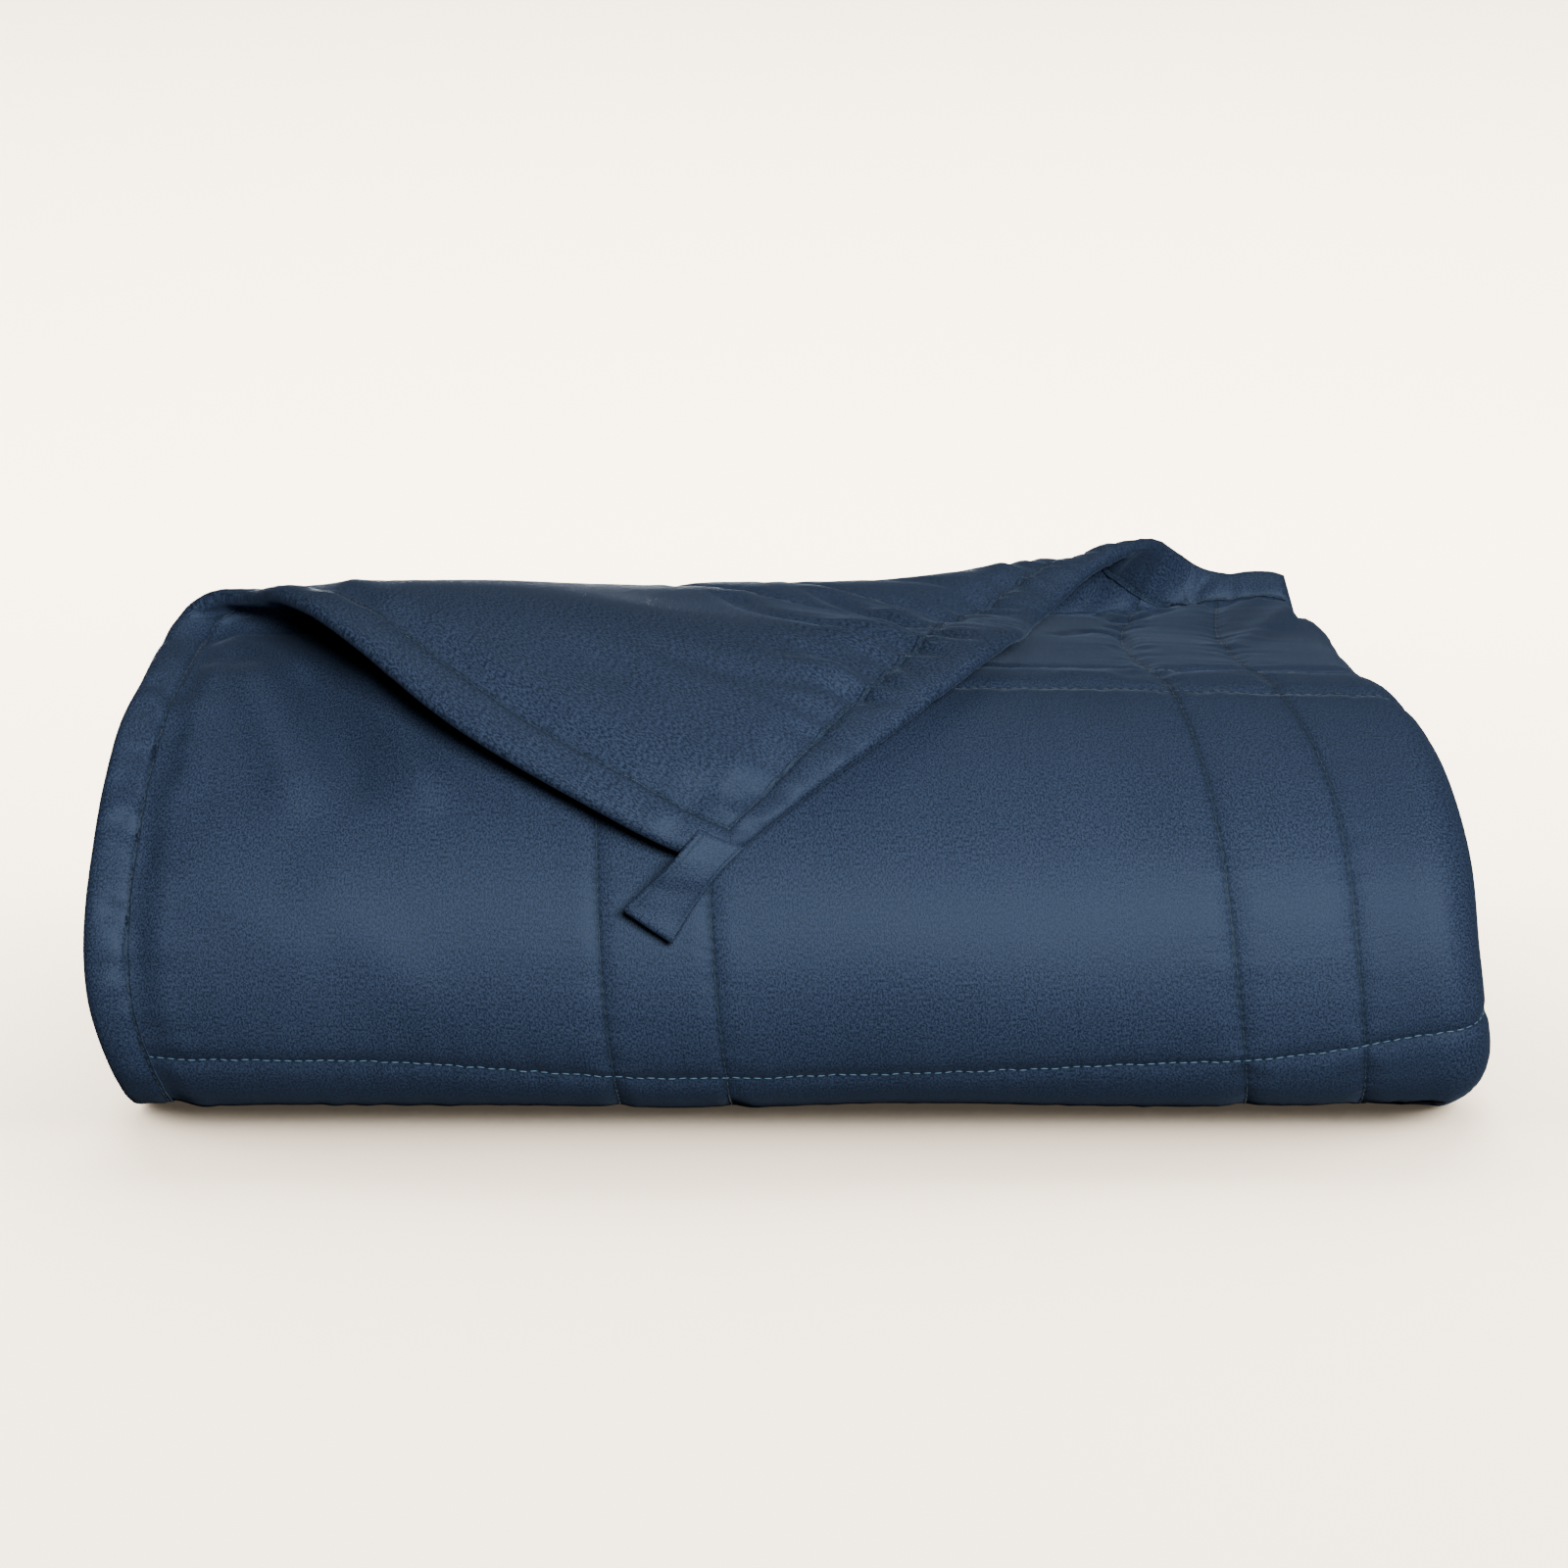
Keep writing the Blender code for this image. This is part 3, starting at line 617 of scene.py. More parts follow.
def row_places(u):
    """The grid's lines across t, for one u."""
    at = np.linspace(EDGE_IN * CREASE_T / CREASE_LEFT, FOLLOW, 2001)
    crease = CREASE_T * (1 - u / CREASE_BACK)
    roll = smooth((at - crease + 0.045) / 0.006) * smooth((crease + 0.004 - at) / 0.006) * (crease > 0)
    density = 1 / 0.0040 + near_lines(at, T_LINES) / 0.0022 + (at < 0.026) / 0.0036 + roll / 0.0034
    top = crowded(at, density, 80)
    at = np.linspace(FOLLOW, FRONT_END, 2001)
    front = crowded(at, 1 / 0.0040 + near_lines(at, T_LINES) / 0.0020, 74)
    at = np.linspace(FRONT_END, T_END - EDGE_IN, 6001)
    plain = (at < T_STARTS["back"]) | within(at, T_STARTS["third"], T_STARTS["inner"])
    plain = plain | (at > T_STARTS["second"])
    hidden = crowded(at, np.where(plain, 1 / 0.030, 1 / 0.0042) + (at > T_END - 0.03) / 0.008, 58)
    return np.concatenate([top, front[1:], hidden[1:]])


columns = column_places()
rows = np.stack([row_places(u) for u in columns])
print(f"grid of {rows.shape[0]} by {rows.shape[1]}: {4 * rows.size} triangles")


# %% Make a mesh from points, faces and cloth coordinates
def cloth_mesh(name, points, faces, cloth):
    """An object whose faces point outwards, with cloth coordinates (in metres) as its UV map."""
    points, faces, cloth = np.asarray(points), np.asarray(faces), np.asarray(cloth)
    corners = points[faces]
    centre = points.mean(axis=0)
    a, b, c, d = (corners[:, i] - centre for i in range(4))
    volume = (np.einsum("ij,ij->i", a, np.cross(b, c)) + np.einsum("ij,ij->i", a, np.cross(c, d)))
    volume = volume.sum()
    if volume < 0:
        faces = faces[:, ::-1]
    mesh = bpy.data.meshes.new(name)
    mesh.from_pydata(points.tolist(), [], faces.tolist())
    vertex = np.empty(len(mesh.loops), int)
    mesh.loops.foreach_get("vertex_index", vertex)
    layer = mesh.uv_layers.new(name="cloth")
    layer.data.foreach_set("uv", cloth[vertex].ravel())
    mesh.polygons.foreach_set("use_smooth", np.ones(len(mesh.polygons), bool))
    mesh.update()
    piece = bpy.data.objects.new(name, mesh)
    bpy.context.scene.collection.objects.link(piece)
    print(f"{name}: {2 * len(faces)} triangles, {abs(volume) / 6 * 1e6:.0f} cm3")
    return piece


def two_sided(name, outer, inner, cloth):
    """A closed sheet from an outer and an inner grid of points."""
    wide, high = outer.shape[:2]
    index = np.arange(wide * high).reshape(wide, high)
    quads = np.stack([index[:-1, :-1], index[1:, :-1], index[1:, 1:], index[:-1, 1:]], axis=-1)
    quads = quads.reshape(-1, 4)
    rim = np.concatenate([index[:-1, 0], index[-1, :-1], index[:0:-1, -1], index[0, :0:-1]])
    after = np.roll(rim, -1)
    below = wide * high
    walls = np.stack([after, rim, rim + below, after + below], axis=-1)
    faces = np.concatenate([quads, quads[:, ::-1] + below, walls])
    points = np.concatenate([outer.reshape(-1, 3), inner.reshape(-1, 3)])
    return cloth_mesh(name, points, faces, np.concatenate([cloth.reshape(-1, 2)] * 2))


# %% Make the quilted cloth
PRESSED = 0.0004         # cloth lower than this is pressed flat


def above_floor(points):
    """The same points, pressed flat where they would sink into what the blanket lies on."""
    x, y, z = np.moveaxis(points, -1, 0)
    flattened = PRESSED / 2 + PRESSED / 2 * np.exp((z - PRESSED) / PRESSED)
    return np.stack([x, y, np.where(z < PRESSED, flattened, z)], axis=-1)


def surface(u, t, side, out=0.0):
    """A point on the cloth's outer side (1) or inner side (-1), lifted off it by out."""
    u, t = np.broadcast_arrays(np.asarray(u, float), np.asarray(t, float))
    height = unevenness(u, t) + side * (half_thickness(u, t) + out)
    return above_floor(sheet(u, t) + height[..., None] * facing(u, t))


grid_u = np.broadcast_to(columns[:, None], rows.shape)
blanket = two_sided(
    "quilted_cloth",
    surface(grid_u, rows, 1),
    surface(grid_u, rows, -1),
    np.stack([grid_u, rows], axis=-1),
)

# %% [markdown]
# ## The binding
#
# A strip of the same sateen is folded over the blanket's edge all the way round and sewn down
# with one row of stitches, a millimetre from its inner edge.  Its section is repeated along a
# walk round the cloth, with a mitre at each corner.

# %% The binding's section
BINDING_SECTION = [  # how far in from the edge, how far out of the cloth's middle
    (0.0150, 0.0018),
    (0.0145, 0.0015),
    (0.0139, 0.0014),
    (0.0132, 0.0017),
    (0.0120, 0.0024),
    (0.0095, 0.0030),
    (0.0065, 0.0032),
    (0.0035, 0.0031),
    (0.0016, 0.0026),
    (0.0005, 0.0017),
    (0.0000, 0.0006),
]
BINDING_INSIDE = [  # the same for the strip's hidden side
    (0.0150, 0.00125),
    (0.0080, 0.0022),
    (0.0020, 0.0014),
    (0.0010, 0.0005),
]
SEAM = 0.0139            # the stitches' distance from the blanket's edge
GATHERS = 0.00032        # heights of the strip's short gathers
SOFT_WAVES = 0.00025     # and of its longer waves


# %% Walk round the edge
def side_places(length, fine_to, fine, coarse):
    """Places along one side of the cloth, close together at its start and in its corners."""
    at = np.linspace(0, length, 8001)
    corner = (at < BINDING_WIDTH) | (at > length - BINDING_WIDTH)
    density = np.where(at < fine_to, 1 / fine, 1 / coarse) + corner / 0.004
    count = int(round(float(((density[1:] + density[:-1]) / 2 * np.diff(at)).sum())))
    return crowded(at, density, count)


def edge_walk():
    """Rows of (u, t, inwards along u, inwards along t) once round, mitred at each corner."""
    by_t = side_places(T_END, 0.42, 0.0021, 0.0105)
    by_u = side_places(U_END, 0.48, 0.0021, 0.0130)
    t_hem = HEM_T / BINDING_WIDTH

    def fan(places, length, start_hem=1.0):
        """How far the section at each place leans along its side, for the mitres at both ends."""
        first = np.clip(start_hem - places / BINDING_WIDTH, 0, None)
        last = np.clip(1 - (length - places) / BINDING_WIDTH, 0, None)
        return first - last

    left = [(0.0, t, 1.0, f) for t, f in zip(by_t, fan(by_t, T_END, t_hem))]
    far = [(u, T_END, f, -1.0) for u, f in zip(by_u, fan(by_u, U_END))]
    right = [(U_END, t, -1.0, f) for t, f in zip(by_t[::-1], fan(by_t, T_END, t_hem)[::-1])]
    back = [(u, 0.0, f, t_hem) for u, f in zip(by_u[::-1], fan(by_u, U_END)[::-1])]
    return np.array(left[:-1] + far[:-1] + right[:-1] + back[:-1])


def make_binding():
    """A closed tube: the section, repeated along the walk."""
    walk = edge_walk()
    outside = BINDING_SECTION + [(i, -o) for i, o in BINDING_SECTION[::-1]]
    inside = [(i, -o) for i, o in BINDING_INSIDE] + BINDING_INSIDE[::-1]
    section = np.array(outside + inside)
    is_outside = np.arange(len(section)) < len(outside)
    u = walk[:, 0:1] + walk[:, 2:3] * section[:, 0]
    t = walk[:, 1:2] + walk[:, 3:4] * section[:, 0]
    steps = np.linalg.norm(np.diff(walk[:, :2], axis=0, append=walk[:1, :2]), axis=1)
    run = np.concatenate([[0.0], np.cumsum(steps)[:-1]])[:, None] * np.ones(len(section))
    slack = np.sin(math.pi * np.clip(section[:, 0] / SEAM, 0, 1))
    gathers = uneven(run + 0.7 * section[:, 0], section[:, 0] * np.ones_like(run), 0.0100, 0.030, 21)
    soft = uneven(run, section[:, 0] * np.ones_like(run), 0.045, 0.060, 22)
    outwards = is_outside * np.sign(section[:, 1]) * slack
    height = section[:, 1] + outwards * (GATHERS * gathers + SOFT_WAVES * soft)
    height = height + unevenness(u, t)
    points = above_floor(sheet(u, t) + height[..., None] * facing(u, t))
    count, around = points.shape[:2]
    index = np.arange(count * around).reshape(count, around)
    ahead, beside = np.roll(index, -1, axis=0), np.roll(index, -1, axis=1)
    faces = np.stack([index, beside, np.roll(ahead, -1, axis=1), ahead], axis=-1).reshape(-1, 4)
    inwards = section[:, 0] * np.where(section[:, 1] > 0, 1, -1)
    cloth = np.stack([run, inwards * np.ones_like(run)], axis=-1)
    return cloth_mesh("binding_strip", points.reshape(-1, 3), faces, cloth.reshape(-1, 2))


binding = make_binding()

# %% [markdown]
# ## The corner loop
#
# A tape, folded in half and sewn into the corner, ties the blanket into its cover.  It is
# pressed nearly flat, with its two sides a little out of line, so that the lower one shows.

# %% Make the loop
LOOP_WIDTH = 0.0160
LOOP_ALONG_T = 0.0205    # its width along t, where the turned corner is drawn together
LOOP_LENGTH = 0.0290     # past the bound edge
LOOP_ROOT = 0.009        # sewn down on the binding
LOOP_HANGS = (-0.530, -0.110, -0.700)  # the way it hangs over the front
LOOP_SPREAD = (-0.086, 0.145, 0.260)   # and how much its two sides spread
LOOP_BEND = 0.004        # over this length it bends down from the cloth
LOOP_CLOTH = 0.0011
LOOP_FACE = 0.0036       # its lower side, off the cloth's middle
LOOP_GAP = 0.0016        # between its sides near the folded end
LOOP_SLIP = 0.0012       # how far the lower side shows
LOOP_INSET = 0.0012      # from the back edge of the binding to the tape
LOOP_SINKS = 0.75        # share of LOOP_FACE that the tape sinks, towards the cloth's middle,
LOOP_SINK_REACH = 0.022  # over this length past the edge
LOOP_STEPS = 22          # steps along each side of the tape
TURN_STEPS = 8           # and round its folded end
TAPE_PLACES = (0.0, 0.05, 0.12, 0.2, 0.35, 0.5, 0.65, 0.8, 0.88, 0.95, 1.0)  # across the tape


def loop_sheet(u, t):
    """The middle of the cloth, and past its edge, the way that the loop hangs from it."""
    past = np.maximum(-u, 0)[..., None]
    first = (sheet(0.0, t) - sheet(0.001, t)) / 0.001
    hangs = np.array(LOOP_HANGS) + (t[..., None] / LOOP_ALONG_T - 0.5) * np.array(LOOP_SPREAD)
    bend = LOOP_BEND * (1 - np.exp(-past / LOOP_BEND))
    return sheet(np.maximum(u, 0), t) + bend * first + (past - bend) * hangs


def loop_path():
    """Rows of (u, height, turn, share of the slip) from one sewn end to the other."""
    half = (LOOP_GAP + LOOP_CLOTH) / 2
    places = [LOOP_ROOT - (LOOP_ROOT + LOOP_LENGTH) * i / LOOP_STEPS for i in range(LOOP_STEPS + 1)]
    path = [(u, LOOP_FACE, 0.0, 1.0) for u in places]
    for i in range(1, TURN_STEPS):
        turn = math.pi * i / TURN_STEPS
        u = -LOOP_LENGTH - half * math.sin(turn)
        path.append((u, LOOP_FACE + half * (1 - math.cos(turn)), turn, 1 - i / TURN_STEPS))
    for i in range(LOOP_STEPS, -1, -1):
        opening = LOOP_CLOTH + 0.0002 + (LOOP_GAP - 0.0002) * smooth(i / LOOP_STEPS)
        path.append((places[i], LOOP_FACE + opening, math.pi, 0.0))
    return np.array(path)


def make_loop():
    """A tape with soft edges, swept along the path."""
    path = loop_path()
    run = np.concatenate([[0.0], np.cumsum(np.hypot(*np.diff(path[:, :2], axis=0).T))])
    edge = TAPE_PLACES[1]
    across_tape = np.array(TAPE_PLACES + TAPE_PLACES[::-1])
    side = np.repeat([1.0, -1.0], len(across_tape) // 2)
    rounding = np.where((across_tape < edge / 2) | (across_tape > 1 - edge / 2), 0.45, 1.0)
    swell = 1 + 0.25 * bell(np.minimum(across_tape, 1 - across_tape) - 0.04, 0.06)
    u = path[:, 0:1] - side * rounding * swell * LOOP_CLOTH / 2 * np.sin(path[:, 2:3])
    height = path[:, 1:2] - side * rounding * swell * LOOP_CLOTH / 2 * np.cos(path[:, 2:3])
    slipped = (path[:, 3:4] * -LOOP_SLIP) * smooth(-path[:, 0:1] / 0.02)
    t = (LOOP_INSET + LOOP_ALONG_T * across_tape + slipped) * CREASE_T / CREASE_LEFT
    height = height - LOOP_SINKS * LOOP_FACE * smooth(-u / LOOP_SINK_REACH)
    height = height + 0.00025 * uneven(u, t, 0.014, 0.012, 31) * smooth(-u / 0.01)
    points = loop_sheet(u, t) - height[..., None] * facing(u, t, of=loop_sheet)
    count, around = points.shape[:2]
    index = np.arange(count * around).reshape(count, around)
    beside = np.roll(index, -1, axis=1)
    faces = np.stack([index[:-1], beside[:-1], beside[1:], index[1:]], axis=-1).reshape(-1, 4)
    half_round = around // 2
    caps = []
    for row in (index[0], index[-1][::-1]):
        for k in range(half_round - 1):
            caps.append((row[k], row[k + 1], row[around - 2 - k], row[around - 1 - k]))
    caps = [caps[i] if i < half_round - 1 else caps[i][::-1] for i in range(len(caps))]
    lengthwise, crosswise = run[:, None] * np.ones(around), across_tape * np.ones((count, 1))
    cloth = np.stack([lengthwise, crosswise * LOOP_WIDTH], axis=-1).reshape(-1, 2)
    return cloth_mesh("loop_tape", points.reshape(-1, 3), np.concatenate([faces, caps]), cloth)


loop = make_loop()

# %% [markdown]
# ## Stitches
#
# A stitch is a short piece of thread that lies on the cloth and dips into it at both ends.
# There are thousands, all alike, so Geometry Nodes set one small long bead at each step along
# the sewn lines, and turn it to lie along the line.

# %% The sewn lines, as curves
STITCH = 0.0034          # from one stitch to the next
STITCH_SEEN = 0.0026     # how much of it shows
THREAD = 0.00022         # the thread's radius
SKEW = 0.10              # how far a stitch may lean from its line, in radians
SPIN = 3.0               # and turn about itself


def sewn_lines(name, paths):
    """A curve object with one straight-jointed spline for each path of points."""
    curve = bpy.data.curves.new(name, "CURVE")
    curve.dimensions = "3D"
    for path in paths:
        spline = curve.splines.new("POLY")
        spline.points.add(len(path) - 1)
        spline.points.foreach_set("co", np.column_stack([path, np.ones(len(path))]).ravel())
    lines = bpy.data.objects.new(name, curve)
    bpy.context.scene.collection.objects.link(lines)
    return lines


# %% A node tree that sews
def stitch_tree():
    """A tree that turns curves into rows of stitches, with its sizes and material as inputs."""
    tree = bpy.data.node_groups.new("stitches", "GeometryNodeTree")
    tree.is_modifier = True
    sockets = tree.interface
    sockets.new_socket("Geometry", in_out="INPUT", socket_type="NodeSocketGeometry")
    sockets.new_socket("Geometry", in_out="OUTPUT", socket_type="NodeSocketGeometry")
    for name, value in (("Step", STITCH), ("Thread", THREAD), ("Length", STITCH_SEEN)):
        size = sockets.new_socket(name, in_out="INPUT", socket_type="NodeSocketFloat")
        size.default_value = value
    sockets.new_socket("Material", in_out="INPUT", socket_type="NodeSocketMaterial")

    def node(kind, values=(), **settings):
        made = tree.nodes.new(kind)
        for key, value in settings.items():
            setattr(made, key, value)
        for key, value in dict(values).items():
            if isinstance(value, bpy.types.NodeSocket):
                tree.links.new(value, made.inputs[key])
            else:
                made.inputs[key].default_value = value
        return made

    given = node("NodeGroupInput").outputs
    spaced = {"Curve": given["Geometry"], "Length": given["Step"]}
    steps = node("GeometryNodeCurveToPoints", spaced, mode="LENGTH")
    ball = node("GeometryNodeMeshUVSphere", {"Segments": 6, "Rings": 5, "Radius": 1.0})
    half = node("ShaderNodeMath", {0: given["Length"], 1: 0.5}, operation="MULTIPLY")
    radii = {"X": given["Thread"], "Y": given["Thread"], "Z": half.outputs[0]}
    size = node("ShaderNodeCombineXYZ", radii)
    range_of_turns = {"Min": (-SKEW, -SKEW, 0.0), "Max": (SKEW, SKEW, SPIN), "Seed": 4}
    turn = node("FunctionNodeRandomValue", range_of_turns, data_type="FLOAT_VECTOR")
    lean = node("FunctionNodeEulerToRotation", {"Euler": turn.outputs["Value"]})
    turns = {"Rotation": steps.outputs["Rotation"], "Rotate By": lean.outputs[0]}
    both = node("FunctionNodeRotateRotation", turns, rotation_space="LOCAL")
    laid = node("GeometryNodeInstanceOnPoints", {
        "Points": steps.outputs["Points"],
        "Instance": ball.outputs["Mesh"],
        "Rotation": both.outputs[0],
        "Scale": size.outputs[0],
    })
    real = node("GeometryNodeRealizeInstances", {"Geometry": laid.outputs[0]})
    soft = node("GeometryNodeSetShadeSmooth", {"Geometry": real.outputs[0]})
    done = node("GeometryNodeSetMaterial", {"Geometry": soft.outputs[0], "Material": given["Material"]})
    tree.links.new(done.outputs[0], node("NodeGroupOutput").inputs[0])
    return tree


def sew(name, paths, tree, material):
    """Run the tree on the paths, and keep its result as a plain mesh."""
    lines = sewn_lines(name + "_lines", paths)
    modifier = lines.modifiers.new("stitches", "NODES")
    modifier.node_group = tree
    inputs = {s.name: s.identifier for s in tree.interface.items_tree if s.in_out == "INPUT"}
    modifier[inputs["Material"]] = material
    made = lines.evaluated_get(bpy.context.evaluated_depsgraph_get())
    mesh = bpy.data.meshes.new_from_object(made)
    bpy.data.objects.remove(lines)
    mesh.name = name
    piece = bpy.data.objects.new(name, mesh)
    bpy.context.scene.collection.objects.link(piece)
    print(f"{name}: {sum(len(p.vertices) - 2 for p in mesh.polygons)} triangles")
    return piece


# %% [markdown]
# ## Materials
#
# Sateen is a smooth weave: its long yarns lie side by side across the blanket and give a soft
# sheen.  Seen close, thicker and thinner yarns draw fine streaks across it, and the weave's
# short floats give it a fine grain.
# The patterns read the cloth's own coordinates, in metres, so they follow every fold.

# %% Shader maths as Python expressions
class Num:
    """A number, colour or vector that changes over a surface.  Python's signs add Math nodes."""

    def __init__(self, shader, socket):
        self.shader, self.socket = shader, socket

    def _math(self, operation, *values):
        return self.shader.add("ShaderNodeMath", dict(operation=operation), dict(enumerate(values)))

    def __add__(self, other):
        return self._math("ADD", self, other)

    def __sub__(self, other):
        return self._math("SUBTRACT", self, other)

    def __mul__(self, other):
        return self._math("MULTIPLY", self, other)

    def __truediv__(self, other):
        return self._math("DIVIDE", self, other)

    def __pow__(self, other):
        return self._math("POWER", self, other)

    def __mod__(self, other):
        return self._math("FLOORED_MODULO", self, other)

    def __rsub__(self, other):
        return self._math("SUBTRACT", other, self)

    __radd__ = __add__
    __rmul__ = __mul__

    def __abs__(self):
        return self._math("ABSOLUTE", self)

    def least(self, other):
        """The smaller of two numbers."""
        return self._math("MINIMUM", self, other)

    def exp(self):
        return self._math("EXPONENT", self)

    def cos(self):
        return self._math("COSINE", self)

    def step(self, low, high):
        """0 below low, 1 above high, and a soft step between."""
        ranged = {0: self, 1: low, 2: high, 3: 0.0, 4: 1.0}
        return self.shader.add("ShaderNodeMapRange", dict(interpolation_type="SMOOTHSTEP"), ranged)


# %% A material that takes such expressions
class Shader:
    """A material whose nodes are added by one method."""

    def __init__(self, name):
        self.material = bpy.data.materials.new(name)
        self.material.use_nodes = True
        self.tree = self.material.node_tree
        self.surface = self.tree.nodes["Principled BSDF"]

    def add(self, kind, settings=None, values=None, output=0):
        """A node with these settings, which are set first, and values or links for its sockets."""
        node = self.tree.nodes.new(kind)
        for key, value in (settings or {}).items():
            setattr(node, key, value)
        for key, value in (values or {}).items():
            if isinstance(value, Num):
                self.tree.links.new(value.socket, node.inputs[key])
            else:
                node.inputs[key].default_value = value
        return Num(self, node.outputs[output])

    def cloth(self, output):
        """u (output 0) or t (output 1) of the cloth's own coordinates."""
        uv = self.add("ShaderNodeUVMap", dict(uv_map="cloth"))
        return self.add("ShaderNodeSeparateXYZ", {}, {0: uv}, output)

    def vector(self, x, y):
        return self.add("ShaderNodeCombineXYZ", {}, {0: x, 1: y})

    def noise(self, vector, scale=1.0, detail=2.0, roughness=0.5):
        """Soft random blotches, mostly around 0.5."""
        values = {"Vector": vector, "Scale": scale, "Detail": detail, "Roughness": roughness}
        return self.add("ShaderNodeTexNoise", {}, values)

    def blend(self, share, colour_a, colour_b):
        """Colour a where share is 0, colour b where it is 1."""
        values = {"Factor": share}
        for key, colour in ((6, colour_a), (7, colour_b)):
            values[key] = colour if isinstance(colour, Num) else (*colour, 1.0)
        return self.add("ShaderNodeMix", dict(data_type="RGBA"), values, 2)

    def bump(self, height_mm):
        """A normal from a height in millimetres."""
        values = {"Height": height_mm, "Distance": 0.001, "Strength": 1.0}
        return self.add("ShaderNodeBump", {}, values)

    def finish(self, **values):
        """Set the surface's sockets.  Spaces in their names are written as underscores."""
        for key, value in values.items():
            socket = self.surface.inputs[key.replace("_", " ")]
            if isinstance(value, Num):
                self.tree.links.new(value.socket, socket)
            else:
                socket.default_value = value
        return self.material


# %% Weave, for every piece of sateen
def weave(shader, u, t, streak=1.0):
    """(shade, height in mm) of a fine weave whose long yarns run along t."""
    floats = shader.noise(shader.vector(u * 1750, t * 1150), detail=2.0, roughness=0.8)
    yarns = shader.noise(shader.vector(u * 1300, t * 70), detail=2.0, roughness=0.6)
    slubs = shader.noise(shader.vector(u * 260, t * 12), detail=2.0)
    shade = (floats - 0.5) * 4.5 + (yarns - 0.5) * (0.26 * streak) + (slubs - 0.5) * (0.09 * streak)
    height = (floats - 0.5) * 0.180 + (yarns - 0.5) * 0.020
    return shade, height


def ditch(distance, width):
    """1 in the middle of a sewn line, and 0 beside it."""
    return (-1 * (distance / width) ** 2).exp()


def near_seam(distance, reach):
    """1 at a sewn line, fading over this reach."""
    return (-1 * distance / reach).exp()


# %% Sateen
NAVY_DEEP = (0.0130, 0.0218, 0.0440)
NAVY_LIGHT = (0.0435, 0.0645, 0.1200)
# Painted shade: the colour that the quilting's ditches and stitch holes, and the binding's seam, are
# darkened towards.
NAVY_DITCH_SHADE = (0.010, 0.020, 0.036)
DITCH_WIDTH = 0.0011     # of the dip and the painted shade in a line of quilting
WRINKLE_REACH = 0.009
GATHER_REACH = 0.010
SHEEN = dict(
    Specular_Tint=(0.55, 0.74, 1.0, 1.0),
    Sheen_Weight=0.12,
    Sheen_Roughness=0.35,
    Sheen_Tint=(0.45, 0.60, 0.85, 1.0),
)


def nearest_line(value, lines):
    """How far a value is from the nearest of these lines."""
    nearest = abs(value - lines[0])
    for line in lines[1:]:
        nearest = nearest.least(abs(value - line))
    return nearest


def sateen():
    """The blanket's cloth, with its quilting drawn in where the stitches pull it down, and painted
    shade in its ditches and stitch holes.
    """
    shader = Shader("navy sateen")
    u, t = shader.cloth(0), shader.cloth(1)
    place = (u - U_LINES[0]) % SQUARE
    from_u = place.least(abs(place - DOUBLE)).least(SQUARE - place)
    faded = 1 - u.step(*RUN_OUT)
    front_pair = nearest_line(t, T_LINES[:2]) + faded * NO_LINE
    from_t = front_pair.least(nearest_line(t, T_LINES[2:]))
    shade, height = weave(shader, u, t)
    cloudy = shader.noise(shader.vector(u * 22, t * 9), detail=3.0)
    ditch_u, ditch_t = ditch(from_u, DITCH_WIDTH), ditch(from_t, DITCH_WIDTH)
    holes_u = ditch_u * ((t * (2 * math.pi / STITCH)).cos() * 0.5 + 0.5)
    holes_t = ditch_t * ((u * (2 * math.pi / STITCH)).cos() * 0.5 + 0.5)
    near = near_seam(from_u.least(from_t), GATHER_REACH)
    gathers = shader.noise(shader.vector(u * 150, t * 150), detail=2.0)
    wrinkles_u = shader.noise(shader.vector(u * 60, t * 210), detail=1.0)
    wrinkles_t = shader.noise(shader.vector(u * 210, t * 60), detail=1.0)
    wrinkles_u = wrinkles_u * near_seam(from_u, WRINKLE_REACH)
    wrinkles_t = wrinkles_t * near_seam(from_t, WRINKLE_REACH)
    relief = height + (wrinkles_u + wrinkles_t) * 0.55 + gathers * near * 0.25
    relief = relief - (ditch_u + ditch_t) * 0.30 - (holes_u + holes_t) * 0.10
    amount = (0.5 + shade + (cloudy - 0.5) * 0.25).step(0.0, 1.0)
    colour = shader.blend(amount, NAVY_DEEP, NAVY_LIGHT)
    # Painted shade in the ditches and the stitch holes of the quilting.
    seam_dip_and_shade = (ditch_u + ditch_t).least(1.0) * 0.35 + (holes_u + holes_t).least(1.0) * 0.35
    return shader.finish(
        Base_Color=shader.blend(seam_dip_and_shade, colour, NAVY_DITCH_SHADE),
        Roughness=0.56 + shade * 0.20 + (cloudy - 0.5) * 0.08,
        Normal=shader.bump(relief),
        Specular_IOR_Level=0.27,
        **SHEEN,
    )


# %% Binding, tape and thread
def binding_cloth():
    """The binding's sateen, gathered along its row of stitches, with painted shade in the seam's ditch.
    """
    shader = Shader("navy binding")
    run, inwards = shader.cloth(0), shader.cloth(1)
    shade, height = weave(shader, inwards, run, 0.8)
    from_seam = abs(abs(inwards) - SEAM)
    # The seam's ditch: a dip in the bump, and painted shade in the colour.
    seam_dip_and_shade = ditch(from_seam, 0.0009)
    gathers = shader.noise(shader.vector((run + inwards * 0.8) * 170, inwards * 45), detail=2.0)
    relief = height + gathers * 0.45 * near_seam(from_seam, 0.006) - seam_dip_and_shade * 0.25
    amount = (0.46 + shade).step(0.0, 1.0)
    colour = shader.blend(amount, NAVY_DEEP, NAVY_LIGHT)
    return shader.finish(
        Base_Color=shader.blend(seam_dip_and_shade * 0.45, colour, NAVY_DITCH_SHADE),
        Roughness=0.52 + shade * 0.18,
        Normal=shader.bump(relief),
        Specular_IOR_Level=0.30,
        **SHEEN,
    )


